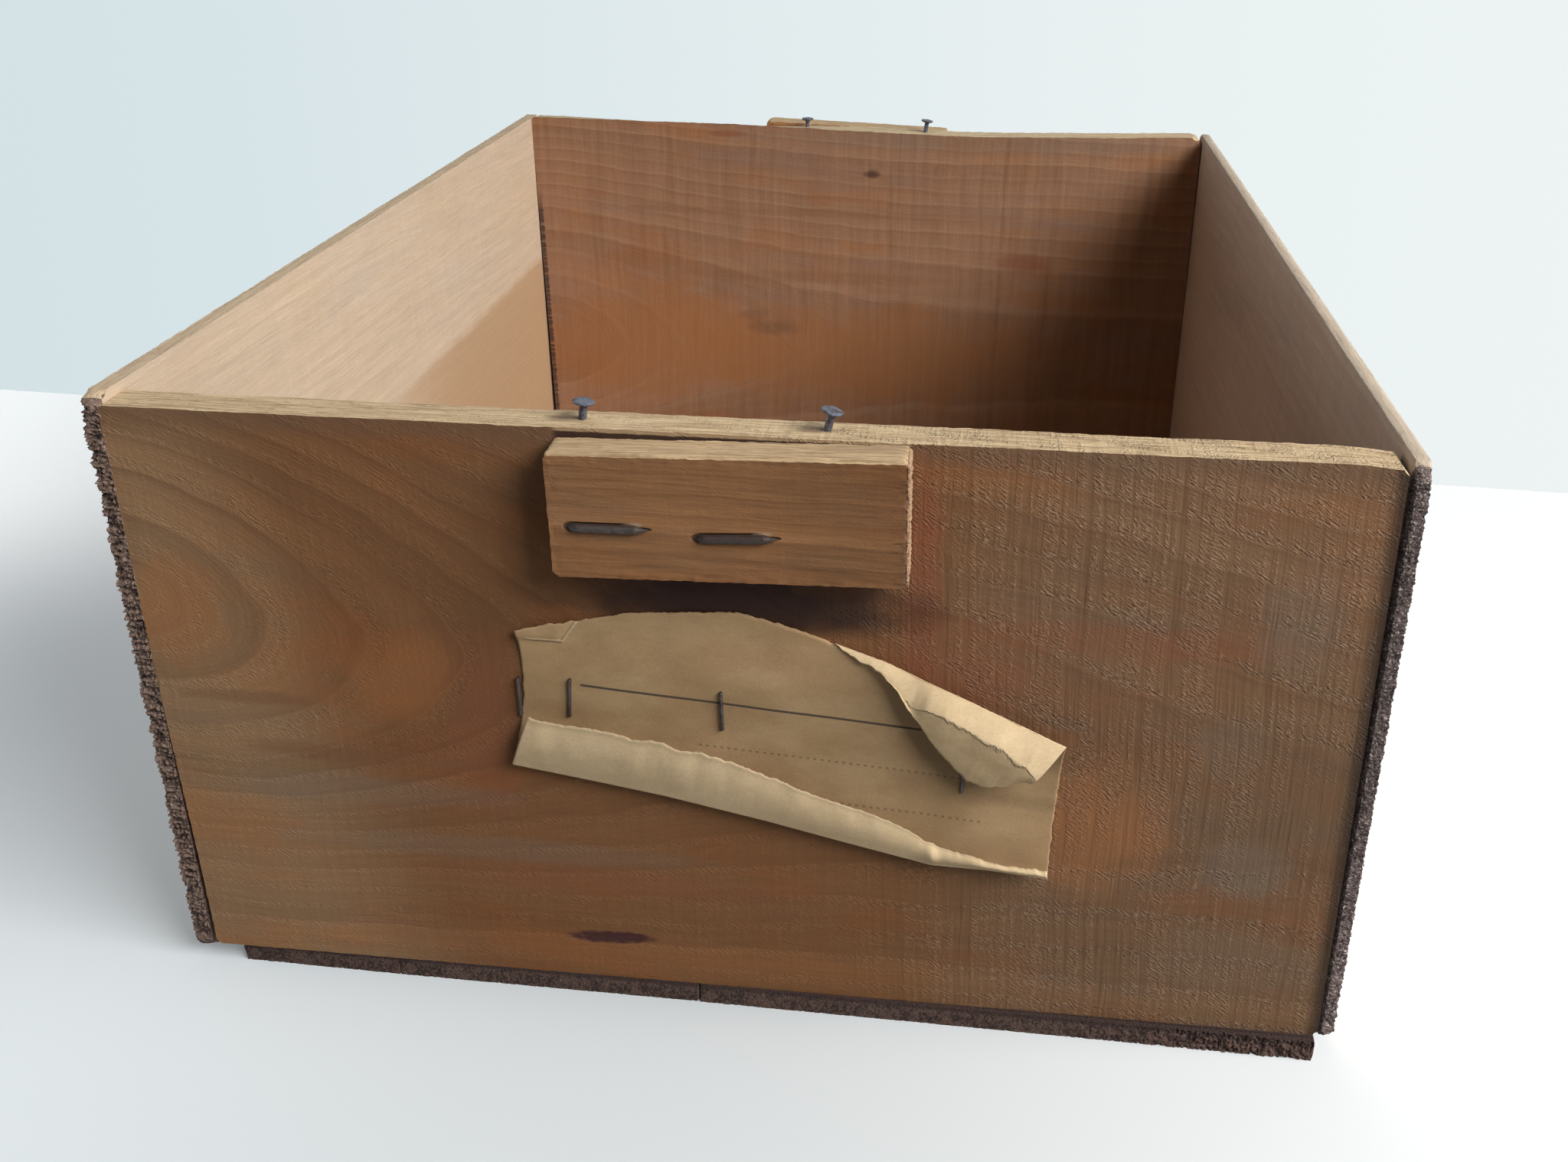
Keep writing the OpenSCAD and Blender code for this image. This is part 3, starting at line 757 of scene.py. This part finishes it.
def at(x, y, z, turn=0.0, tilt=0.0):
    """A place in millimetres, with a turn about Z and then a tilt about Y, in degrees."""
    return (
        Matrix.Translation(Vector((x, y, z)) * MM)
        @ Matrix.Rotation(math.radians(tilt), 4, "Y")
        @ Matrix.Rotation(math.radians(turn), 4, "Z")
    )


print("board builder ready")

# %% [markdown]
# ## The end boards
#
# The ends are the thick boards that hold everything. They were sawn a little out of square, so
# their tops sit three millimetres left of their bottoms, and the sides lean with them.

# %% End boards
HALF_W, HALF_L, FLOOR_T, END_H, END_T, SHIFT = 150, 200, 6, 160, 12, 3
SAG = [(0, 0), (88, 0.5), (123, 1.5), (138, 2.2), (204, 3.2), (248, 2.2), (300, 1.0)]


def front_warp(p):
    """The ends of the front board spread: the left one above, and the right one below."""
    left_out = 0.6 * (1 - ramp(p.x, 0, 60)) * ramp(p.z, 20, 80)
    right_out = ramp(p.x, 220, 300) * (1.4 - 1.9 * p.z / END_H)
    dip = 0.9 * ramp(p.x, 284, 299) * ramp(p.z, END_H - 12, END_H - 3)
    return right_out - left_out, 0, -dip


def back_warp(p):
    """The back board's top edge sags, and its left half slopes down to the back."""
    for (x0, low), (x1, high) in zip(SAG, SAG[1:]):
        if p.x <= x1:
            break
    sag = low + (high - low) * ramp(p.x, x0, x1)
    slope = (1.2 + 1.4 * ramp(p.x, 0, 70)) * (1 - ramp(p.x, 95, 145))
    drop = (sag + slope * p.y / END_T) * ramp(p.z, END_H - 15, END_H - 3)
    return 0, 0, -drop


front = worn_board(
    "front_board", (2 * HALF_W, END_T, END_H), (1, 1, 0.9, 1), shift=SHIFT, right_shift=2.4,
    chip=0.5, warp=front_warp,
)
put_in_place(front, at(-HALF_W, -HALF_L, FLOOR_T), front_wood, "front_end_board")
back = worn_board(
    "back_board", (2 * HALF_W, END_T, END_H), (1, 1, 3, 1), shift=SHIFT, right_shift=2.0,
    fall=0.8, warp=back_warp,
)
put_in_place(back, at(-HALF_W, HALF_L - END_T, FLOOR_T), back_wood, "back_end_board")

# %% [markdown]
# ## The side boards
#
# The sides are thin, and a coarse saw tore their ends into dark ragged clumps that stand out of
# the outline. They lean half a degree to the left, the left one against the ends' upper corner
# and the right one against their lower corner.

# %% Side boards
LEAN, LEFT_T, RIGHT_T = -0.5, 5.0, 4.2
STRAYS = (0.8, -1.2, 0.5, -0.6)
HEADS = [(x, 24 + k * 38.67) for k, s in enumerate(STRAYS) for x in (6 + s, 394 - s)]


def side_place(touch_x, touch_z, outer, low):
    lean = at(touch_x, 0, FLOOR_T + touch_z, tilt=LEAN)
    return lean @ at(outer, -HALF_L, low - touch_z, turn=90)


def sound_corner(p, end):
    """The left board's upper front corner is sound, and its lower front corner is worn round."""
    if end > 0:
        return 1.0
    return (1 - 0.98 * ramp(p.z, END_H + 2, END_H + 4.5)) * (0.3 + 0.7 * ramp(p.z, 3, 14))


def dent(p, face, outer, rise=0.0):
    """Each side nail was driven in until its head lay bare in a shallow dent."""
    off = min(math.hypot(x - p.x, z + rise - p.z) for x, z in HEADS)
    proud = max((p.y - face) * outer + 0.35, 0.0)
    return Vector((0, -outer * proud * (1 - ramp(off, 3.3, 4.6)), 0))


left = worn_board(
    "left_board", (2 * HALF_L, LEFT_T, END_H + 5), (3, 2, 2, 4), fall=3, skin=1.5,
    chip=0.6, wave=0.5, warp=lambda p: dent(p, LEFT_T, 1, 2.5),
    torn=dict(outer=1, amount=sound_corner, rows=0.4, lumps=0.3, crumbs=0.45, size=1.6),
)
place = side_place(-HALF_W - SHIFT, END_H, 0, -2.5)
put_in_place(left, place, left_wood, "left_side_board")


def right_warp(p):
    """At the front, the right board stands out below and hangs a little low."""
    near = 1 - ramp(p.x, 20, 380)
    out, low = 1.1 - 2.0 * p.z / END_H, 1.4 * (1 - ramp(p.z, 0, 30))
    move = Vector((0, -out, -low)) * near
    return move + dent(p + move, 0, -1)


right_board = worn_board(
    "right_board", (2 * HALF_L, RIGHT_T, END_H + 1.2), (2, 2, 2, 5), fall=3, skin=1.5,
    chip=0.4, wave=0.15, warp=right_warp,
    torn=dict(outer=-1, amount=lambda p, end: 1.0, rows=0.1, lumps=0.25, crumbs=0.5, size=0.7),
)
place = side_place(HALF_W, 0, RIGHT_T, 0)
put_in_place(right_board, place, right_wood, "right_side_board")

# %% [markdown]
# ## The floor boards
#
# Three boards of unlike widths run from front to back under the ends. Their outer edges are
# rounded, and their sawn ends show as a dark rough strip at the bottom of the photograph.

# %% Floor boards
FLOOR_BOARDS = {
    "bottom_board_left": (-144.0, 47.3, 1.2, 0.3, [(0, 0, 2.8), (6, 0, 2.8)]),
    "bottom_board_middle": (-98.4, 86.8, 0.3, -0.4, []),
    "bottom_board_right": (-13.3, 164.3, -0.5, -2.8, [(0, 164.3, 2.4), (6, 164.3, 2.4)]),
}


def crumbling(node):
    """Only the last few centimetres of the right board are torn, the rest was sawn clean."""
    start = 95 if node.endswith("right") else 400
    return lambda p, end: 0.2 + 0.8 * ramp(p.z, start, start + 50)


def askew(width, left, right):
    """The front end lies this far behind the front board's face, at its left and its right."""
    return lambda p: ((left + (right - left) * p.z / width) * (1 - ramp(p.x, 0, 90)), 0, 0)


for node, (x, width, left, right, rounds) in FLOOR_BOARDS.items():
    piece = worn_board(
        node.replace("bottom_board", "floor"), (2 * HALF_L, FLOOR_T, width),
        (0.3, 0.3, 0.3, 0.3), rounds=rounds, skin=1.5, chip=0.25, wave=0,
        warp=askew(width, left, right),
        torn=dict(outer=-1, amount=crumbling(node), rows=0.1, lumps=0.4, crumbs=0.7, size=1.1),
    )
    lie = Matrix(((0, 0, 1, 0), (1, 0, 0, 0), (0, 1, 0, 0), (0, 0, 0, 1)))
    put_in_place(piece, at(x, -HALF_L, 0) @ lie, floor_wood, node)

# %% [markdown]
# ## The handle blocks
#
# A block of clean pine is nailed across each end to lift the crate by. Its right end broke off
# more than it was sawn, so its fibres stand out there.

# %% Handle blocks
CLEAT = (82.2, 11, 30.6)


def broken_right(p, end):
    return 0.6 * ramp(end, 0, 1)


block = worn_board(
    "front_block", CLEAT, (0.8, 1.2, 1.5, 0.8), skin=0.7, chip=0.8, wave=0.2,
    torn=dict(outer=-1, amount=broken_right, rows=0.3, lumps=0.5, crumbs=0.5, size=1.2, reach=0.9),
)
middle = at(-CLEAT[0] / 2, 0, -CLEAT[2] / 2)
front_place = at(-1.4, -HALF_L - CLEAT[1], FLOOR_T + END_H - 1.2 - CLEAT[2] / 2, tilt=-1.3)
bpy.ops.object.select_all(action="DESELECT")
block.select_set(True)
bpy.context.view_layer.objects.active = block
bpy.ops.object.duplicate()
second = bpy.context.object
second.name = second.data.name = "back_block"
back_tilt = at(5, -HALF_L - CLEAT[1], FLOOR_T + END_H - 2.6 - CLEAT[2] / 2, tilt=-2)
back_place = Matrix.Rotation(math.pi, 4, "Z") @ back_tilt @ middle
put_in_place(second, back_place, cleat_wood, "back_cleat")
block.select_set(True)
bpy.context.view_layer.objects.active = block
put_in_place(block, front_place @ middle, cleat_wood, "front_cleat")

# %% [markdown]
# ## The label's paper
#
# The label is one sheet whose lower part has folded forward and up, and whose upper right corner
# has folded down. A grid is the natural start: its columns follow the sheet's top edge, fold and
# torn edge, so each column only has to be bent once. The curves are lists of points along the
# board, each with its height and its distance in front of the board.

# %% Label curves
LABEL_X, LABEL_Z, REST, FOLD_R, PAPER = 12, FLOOR_T + END_H - 80, 0.25, 0.8, 0.24
TOP = [(-67.4, 27.3, 1.2), (-59.3, 29.2, 0.5), (-51.2, 30.5, 0.3), (-39.6, 33.1, 0.3),
       (-25.8, 34.3, 0.3), (-13, 35, 0.3), (-5.9, 33.5, 0.3), (2.5, 31.3, 0.4), (10.7, 28.3, 0.6),
       (23.5, 24.3, 1.2), (35.1, 19.4, 2.2), (48, 14, 3), (67.3, 5.7, 4)]
TURN = TOP[8:]
FLAP = [(10.8, 28.5, 0.9), (14.2, 26.1, 1.4), (16.9, 24.7, 2), (19.4, 24, 2.5),
        (22.5, 22.4, 3.2), (26, 18.4, 4.2), (29.6, 13.3, 5), (33.2, 8.4, 5.5),
        (36.8, 3.4, 5.8), (40, -0.2, 6), (44, -4.3, 6.2), (47.5, -5.7, 6.4), (52.5, -5.2, 6.8),
        (57.4, -2.9, 7.4), (59.5, -2.7, 7.8)]
CREST = [(0, 0.95, 0.9), (0.38, 0.9, 4.4), (0.43, 0.55, 5.8), (0.5, 0.34, 6.5), (0.6, 0.3, 7.4),
         (0.75, 0.29, 8.2), (0.9, 0.5, 8.8), (1, 0.86, 8.4)]
FOLD = [(-70.5, -11.3, 2.2), (-47, -14.7, 2.6), (-31.2, -17.2, 2.8), (-5.6, -22.4, 3),
        (13.9, -26.9, 3.2), (36.6, -31.8, 3.6), (50.7, -31.4, 4.6), (65.6, -32, 5.6)]
ROLL = [(-64.9, 4.5, 5), (-55.7, 3.1, 5.5), (-49.4, 3.1, 5.8), (-43.2, 2.1, 6),
        (-36.1, 0.9, 6.4), (-31.7, 1.1, 6.5), (-27.3, -0.9, 6.5), (-19.4, -1.8, 6.5),
        (-14.7, -3.3, 6.3), (-5.2, -6.9, 6), (6.2, -11.9, 5.7), (23.8, -17.4, 5.4),
        (31, -21.2, 5.2), (34.5, -23.5, 5.2), (38.8, -25.3, 5.2), (50.5, -28.1, 5.8),
        (54.8, -28.7, 6.2), (65.3, -29.3, 6.6)]


def along(curve, share):
    """The point of a curve at a share of its width."""
    x = curve[0][0] + share * (curve[-1][0] - curve[0][0])
    for a, b in zip(curve, curve[1:]):
        if x <= b[0] + 1e-9:
            t = (x - a[0]) / (b[0] - a[0])
            return Vector([p + t * (q - p) for p, q in zip(a, b)])
    return Vector(curve[-1])


def ragged(x, size, seed):
    """A torn edge strays by this much at x."""
    return size * noise.fractal(Vector((x * 0.55, seed, 0)), 0.6, 2.2, 4)


def dog_ear(p):
    """The upper left corner was once bent over a slanting crease and stands off a little."""
    inside = (p.y - 24.3) * 0.62 - (p.x + 56.1)
    return 0.8 * ramp(inside, -0.4, 3) * ramp(p.y, 23.6, 26)


def sheet_point(u, v):
    """v runs down the board, round the fold and up to the torn edge."""
    head, fold, edge = (along(c, u) for c in (TOP, FOLD, ROLL))
    foot, behind = fold + Vector((0, FOLD_R, -FOLD_R)), fold + Vector((0, FOLD_R, FOLD_R))
    if v < 0.62:
        t = v / 0.62
        head.y += ragged(head.x, 0.35, 3.1)
        p = head.lerp(foot, t)
        lift_top = max(0, 1 - 3 * t) ** 2 * (head.z - REST)
        lift_foot = max(0, (t - 0.6) / 0.4) ** 1.4 * (foot.z - REST)
        side = ragged(p.y + 200, 0.3, 8.8) * (1 if u < 0.5 else -1) * (2 * abs(u - 0.5)) ** 30
        p.x += 1.8 * (1 - u) ** 8 * math.sin(math.pi * t) + side
        buckle = 0.35 * noise.noise(Vector((p.x * 0.06, p.y * 0.08, 1)))
        p.z = REST + lift_top + lift_foot + buckle + dog_ear(p)
        return p
    if v < 0.74:
        angle = math.pi * (v - 0.62) / 0.12
        return fold + FOLD_R * Vector((0, 1 - math.sin(angle), -math.cos(angle)))
    t = (v - 0.74) / 0.26
    edge = edge + Vector((0, ragged(edge.x, 0.35, 5.7), 0))
    p = behind.lerp(edge, t)
    crumple = 0.7 * math.exp(-((p.x - 36.5) / 1.6) ** 2) * math.sin(math.pi * t)
    p.z += 0.9 * math.sin(math.pi * t) + 0.3 * noise.noise(Vector((p.x * 0.2, t, 4))) * t
    p.z += crumple
    return p


def flap_point(u, v):
    """The corner's back rises from its fold to a crest at v = 0.5, and from there hangs."""
    fold, edge, crest = along(TURN, u), along(FLAP, u), along(CREST, u)
    edge.y += ragged(edge.x, 0.45, 9.3)
    if v < 0.5:
        t = v * 2
        p = fold.lerp(edge, crest.y * t)
        rise = 0.6 * t + 0.4 * math.sin(math.pi / 2 * t)
        p.z = fold.z + (crest.z - fold.z) * rise
    else:
        t = v * 2 - 1
        p = fold.lerp(edge, crest.y + (1 - crest.y) * t)
        p.z = crest.z + (edge.z - crest.z) * (1 - math.cos(math.pi / 2 * t))
    p.z += 0.25 * noise.noise(Vector((p.x * 0.15, p.y * 0.2, 7)))
    return p


print("label curves ready")

# %% Paper sheets
def paper_sheet(name, columns, rows, point):
    bpy.ops.mesh.primitive_grid_add(x_subdivisions=columns, y_subdivisions=rows, size=1)
    piece = bpy.context.object
    piece.name = piece.data.name = name
    for vert in piece.data.vertices:
        p = point(vert.co.x + 0.5, 0.5 - vert.co.y)
        vert.co = Vector((LABEL_X + p.x, -HALF_L - p.z, LABEL_Z + p.y)) * MM
    body = piece.modifiers.new("thickness", "SOLIDIFY")
    body.thickness, body.offset = PAPER * MM, 0.0
    apply_modifiers(piece)
    bpy.ops.object.shade_smooth()
    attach(piece, "root")
    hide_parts("label")
    bpy.ops.object.select_all(action="DESELECT")
    print(name, len(piece.data.polygons), "faces")
    return piece


sheet = paper_sheet("label_sheet", 260, 80, sheet_point)
flap = paper_sheet("label_corner", 120, 48, flap_point)

# %% [markdown]
# ## The paper's finish
#
# The paper has yellowed unevenly, its fibres show as a faint mottle, and the torn edges are
# paler. Whatever was printed on it is left off, but for one plain ruled line and faint dotted
# lines of the kind that any form has.


# %% Paper
def paper_finish(name, ruled):
    paint = Paint(name)
    x, y, z = paint.place()
    u, v, _ = paint.split(paint.node("ShaderNodeTexCoord", out="UV"))
    mottle = paint.noise(x * 0.05, z * 0.09, y * 0.06, detail=3.0, rough=0.6)
    fibre = paint.noise(x * 1.2, z * 1.8, y * 1.8, detail=3.0, rough=0.7)
    soil = paint.noise(x * 0.16, z * 0.22, y * 0.2, detail=3.0, rough=0.65)
    ragged_v = v + (paint.noise(x * 0.35, z * 0.1, 0.0, detail=4.0, rough=0.75) - 0.5) * 0.26
    face = paint.mix(paint.step(mottle, 0.35, 0.7), (0.42, 0.267, 0.134), (0.48, 0.32, 0.168))
    back = paint.mix(paint.step(mottle, 0.35, 0.7), (0.595, 0.44, 0.257), (0.645, 0.483, 0.29))
    height = fibre * 0.06 + mottle * 0.2
    if ruled:
        turned = 1 - paint.step(v, 0.33, 0.35)
        # The printed face is brighter near the top and darker lower down: painted shade under the corner
        # flap.
        face = paint.gain(face, paint.step(z, 96, 109) * 0.2 + 0.88)
        # Just above the roll the face is darker: painted shade between the sheet and the roll.
        face = paint.gain(face, paint.step(v, 0.36, 0.58) * 0.15 + 0.85)
        # On the roll, the back of the paper is darker at its torn edge: painted shade that dims the light
        # on the rim.
        tone = paint.mix(turned, face, paint.gain(back, paint.step(v, 0.0, 0.04) * 0.3 + 0.85))
        # A dark band along a shallow crease on the right is painted shade of the crease.
        valley_shade = abs(z - 73.5 + (x - 55) * 0.04) + (soil - 0.5) * 3
        valley_shade = (1 - paint.step(valley_shade, 0.3, 3.0)) * paint.step(x, 40, 60) * (1 - turned)
        tone = paint.mix(valley_shade * 0.45, tone, (0.27, 0.165, 0.085))
        rule_z = 98.1 - (x + 39.9) * 0.0764
        rule = 1 - paint.step(abs(z - rule_z), 0.22, 0.42)
        rule = rule * paint.step(x, -40.6, -40.0) * (1 - paint.step(x, 44, 45))
        dots = paint.step((x * (math.pi / 0.9)).math("SINE"), 0.1, 0.4)
        for drop in (12.5, 24.0):
            low = 1 - paint.step(abs(z - rule_z + drop), 0.2, 0.38)
            low = low * paint.step(x, -12, -10) * (1 - paint.step(x, 60, 62)) * dots * 0.5
            rule = rule + low
        # The dog-ear's creases are drawn as pale lines with a little bump: a painted highlight along the
        # folds.
        slant = abs((z - 110.3) * 0.66 - (x + 44.1))
        crease = (1 - paint.step(slant, 0.1, 0.7)) * paint.step(z, 109, 111)
        level = (1 - paint.step(abs(z - 110.2 - (x + 44) * -0.06), 0.1, 0.6))
        crease = crease + level * (1 - paint.step(x, -45, -43.5)) * paint.step(x, -54, -52)
        tone = paint.mix(crease * (1 - turned) * 0.6, tone, (0.66, 0.50, 0.32))
        tone = paint.mix(rule * (1 - turned) * 0.85, tone, (0.035, 0.03, 0.03))
        height = height + crease * 0.3
    else:
        torn = 1 - paint.step(ragged_v, 0.47, 0.5)
        # A thin dark line along the tear is painted shadow of the torn layer's edge.
        rim = paint.step(ragged_v, 0.44, 0.475) * (1 - paint.step(ragged_v, 0.485, 0.51))
        under = paint.mix(soil, (0.505, 0.357, 0.195), (0.61, 0.448, 0.256))
        tone = paint.mix(torn, back, under)
        tone = paint.mix(rim * 0.2, tone, (0.22, 0.15, 0.085))
        height = height + (1 - torn) * 0.35
    tone = paint.gain(tone, 0.96 + (fibre - 0.5) * 0.3 + (soil - 0.5) * 0.22)
    return paint.finish(tone, 0.85, height, specular=0.2)


sheet.data.materials.append(paper_finish("printed paper", True))
flap.data.materials.append(paper_finish("back of the paper", False))
print("paper finished")

# %% [markdown]
# ## Steel
#
# Wire nails lose their shine to a blue-grey skin with a little rust, and the bent nails on the front
# block also get painted shade along their borders. The imported nails have the right shape, so they stay,
# and only get this finish.


# %% Steel
def old_steel(name, skin, rust, amount, metallic=0.7, bent=False):
    paint = Paint(name)
    x, y, z = paint.place()
    patch = paint.noise(x * 0.5, y * 0.5, z * 0.5, detail=4.0, rough=0.7)
    grit = paint.noise(x * 4, y * 4, z * 4, detail=2.0)
    tone = paint.mix(paint.step(patch, 0.45, 0.65) * amount, skin, rust)
    tone = paint.gain(tone, 0.7 + grit * 0.6)
    # On the bent nails, both sides and both ends are darkened with the rust colour: painted shade that
    # makes them look thinner and sunk in the wood.
    for foot_x, foot_z, turn in BENT_NAILS if bent else ():
        a = x - foot_x
        b = abs(z - foot_z - a * math.tan(math.radians(turn)))
        rim = paint.step(b, 0.6, 1.05).math("MAXIMUM", 1 - paint.step(a, 0.5, 2.5))
        rim = rim.math("MAXIMUM", paint.step(a, 13.5, 16.5)) * (1 - paint.step(b, 2.5, 3))
        rim = rim * paint.step(a, -4, -3) * (1 - paint.step(y, -210.8, -209.8))
        tone = paint.mix(rim * 0.8, tone, rust)
    rough = 0.45 + paint.step(patch, 0.4, 0.7) * 0.3
    return paint.finish(tone, rough, grit * 0.08 + patch * 0.15, metallic=metallic, specular=0.5)


nail_steel = old_steel("nail steel", (0.15, 0.16, 0.20), (0.075, 0.05, 0.042), 0.8)
bent_steel = old_steel("bent nail steel", (0.08, 0.066, 0.06), (0.045, 0.028, 0.022), 0.6, 0.3, bent=True)
staple_steel = old_steel("staple steel", (0.10, 0.09, 0.09), (0.075, 0.045, 0.033), 0.8)
for name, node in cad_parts.items():
    if "nails" in name or "staples" in name:
        node.data.materials.clear()
        steel = bent_steel if "cleat" in name else nail_steel
        node.data.materials.append(staple_steel if "staples" in name else steel)
print("steel on", sum("nails" in n or "staples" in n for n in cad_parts), "nodes")

# %% [markdown]
# ## The lid's nails
#
# Four nails once held the lid and were left standing when it was pulled off. Each is a shaft cut
# from wire, whose top is spread into a flat head by extruding and widening its upper face. A
# little displacement gives the head the dents that the hammer and the pincers left.


# %% Lid nails
def lid_nail(name, x, y, z, lean, out, node):
    bpy.ops.mesh.primitive_cylinder_add(
        vertices=28, radius=0.95 * MM, depth=(out + 2.2) * MM, location=(0, 0, (out - 3.8) / 2 * MM)
    )
    nail = bpy.context.object
    nail.name = nail.data.name = name
    bpy.ops.object.transform_apply()
    pick_verts(nail, lambda p: p.z > 0)
    bpy.ops.mesh.extrude_region_move(TRANSFORM_OT_translate={"value": (0, 0, 0.45 * MM)})
    bpy.ops.transform.resize(value=(2.55, 2.55, 1))
    bpy.ops.mesh.extrude_region_move(TRANSFORM_OT_translate={"value": (0, 0, 0.5 * MM)})
    bpy.ops.transform.resize(value=(1.06, 1.06, 1))
    bpy.ops.mesh.extrude_region_move(TRANSFORM_OT_translate={"value": (0, 0, 0.22 * MM)})
    bpy.ops.transform.resize(value=(0.88, 0.88, 1))
    leave_edit()
    fine = nail.modifiers.new("even skin", "REMESH")
    fine.mode, fine.voxel_size, fine.use_smooth_shade = "VOXEL", 0.16 * MM, True
    bpy.ops.object.modifier_apply(modifier=fine.name)
    weigh(nail, "all", lambda p: ramp(p.z, 0, out))
    displace(nail, DENTS, 0.5, "all")
    apply_modifiers(nail)
    nail.vertex_groups.clear()
    put_in_place(nail, at(x, y, z, tilt=lean), nail_steel, node)


DENTS = clouds("dents", 1.6, 2)
TOP_Z, MID_Y = FLOOR_T + END_H, HALF_L - END_T / 2
lid_nail("front_nail_left", -37.5, -MID_Y, TOP_Z, 7, 4.3, "front_lid_nails")
lid_nail("front_nail_right", 19.6, -MID_Y, TOP_Z, 14, 4.8, "front_lid_nails")
lid_nail("back_nail_left", -26.3, MID_Y, TOP_Z - 3, 0, 4.2, "back_lid_nails")
lid_nail("back_nail_right", 27.2, MID_Y, TOP_Z - 2.6, 7, 4.2, "back_lid_nails")

# %% [markdown]
# ## Floor, wall and light
#
# The crate stands on a white table, close to a pale wall. A large soft window lights it from the
# right, above and a little in front, so the left board glows inside and the right part of the back
# board lies in its neighbour's shadow. The wall only shows to the camera, and only from its front.

# %% Floor and wall
bpy.ops.mesh.primitive_plane_add(size=6)
ground = bpy.context.object
ground.name = "floor"
paint = Paint("white table")
x, y, z = paint.place()
rays = paint.node("ShaderNodeLightPath").socket.node.outputs
seen = sum(Wire(paint, rays[f"Is {kind} Ray"]) for kind in ("Camera", "Glossy", "Transmission"))
# Seen by the camera, the table is darker to the left and in front and paler towards the back: painted
# shade and light on the table.
tint = paint.mix(paint.step(x, -120, 330), (0.62, 0.66, 0.67), (0.86, 0.87, 0.86))
tint = paint.mix(paint.step(y - x * 0.3, -20, 190), tint, (0.92, 0.94, 0.94))
tint = paint.mix(seen, (0.22, 0.22, 0.225), tint)
ground.data.materials.append(paint.finish(tint, 0.6, 0.0))
# The table's left part also glows to the camera, more so far back: painted light that lifts the crate's
# shadow there.
glow = paint.mix(paint.step(y - x * 0.3, 60, 240), (0.18, 0.19, 0.20), (0.36, 0.37, 0.375))
painted_floor_light = paint.mix(paint.step(x, -230, 60), glow, (0.0, 0.0, 0.0))
skin = ground.data.materials[0].node_tree.nodes["Principled BSDF"]
paint.tree.links.new(paint.gain(painted_floor_light, seen).socket, skin.inputs["Emission Color"])
skin.inputs["Emission Strength"].default_value = 1.0
bpy.ops.mesh.primitive_plane_add(size=1)
wall = bpy.context.object
wall.name = "wall"
wall.data.transform(Matrix.Diagonal((4, 2, 1, 1)))
wall.data.transform(
    Matrix.Translation((0, 0.219, 1))
    @ Matrix.Rotation(math.radians(-3.0), 4, "Z")
    @ Matrix.Rotation(math.radians(90), 4, "X")
)
paint = Paint("pale wall")
x, y, z = paint.place()
# The wall glows with its own light, darker and bluer to the left: painted light.
tint = paint.mix(paint.step(x, -500, 350), (0.66, 0.76, 0.79), (0.85, 0.90, 0.90))
glow = paint.node("ShaderNodeEmission", sockets={"Color": tint, "Strength": 1.0})
clear = paint.node("ShaderNodeBsdfTransparent")
behind = paint.node("ShaderNodeNewGeometry", out="Backfacing")
seen = paint.node("ShaderNodeMixShader", sockets={0: behind, 1: glow, 2: clear})
paint.node("ShaderNodeOutputMaterial", sockets={"Surface": seen})
wall.data.materials.append(paint.material)
wall.visible_shadow = wall.visible_diffuse = False
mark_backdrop(ground, wall)
print("stage:", ground.name, wall.name)

# %% Light
def window(name, place, aim, size, power):
    bpy.ops.object.light_add(type="AREA", location=place)
    lamp = bpy.context.object
    lamp.name = name
    lamp.data.shape, lamp.data.size, lamp.data.size_y = "RECTANGLE", *size
    lamp.data.energy = power
    lamp.rotation_euler = (Vector(aim) - Vector(place)).to_track_quat("-Z", "Y").to_euler()


window("window", (1.25, -0.72, 1.12), (0, 0, 0.08), (1.6, 0.8), 50)
window("ceiling", (0.0, -0.1, 2.2), (0, 0, 0), (2.0, 2.0), 3)
window("white wall on the left", (-1.4, 0.1, 0.16), (0, 0, 0.05), (1.2, 0.3), 6)
sky = bpy.data.worlds.new("room")
sky.use_nodes = True
bpy.context.scene.world = sky
back_light = sky.node_tree.nodes["Background"]
back_light.inputs["Color"].default_value = (0.78, 0.90, 1.0, 1.0)
back_light.inputs["Strength"].default_value = 0.08
bpy.context.scene.view_settings.view_transform = "Standard"
print("light set")

# %% [markdown]
# ## The two boxes
#
# Both boxes, the imported model's and the dressed crate's, are printed in millimetres before the scene is
# finished. The dressed crate has to stay inside the imported model's box but for a few millimetres.

boxes = {"cad": cad_box, "visual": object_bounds()}
for key, (low, high) in boxes.items():
    print(key, [round(c / MM, 1) for c in low], [round(c / MM, 1) for c in high])
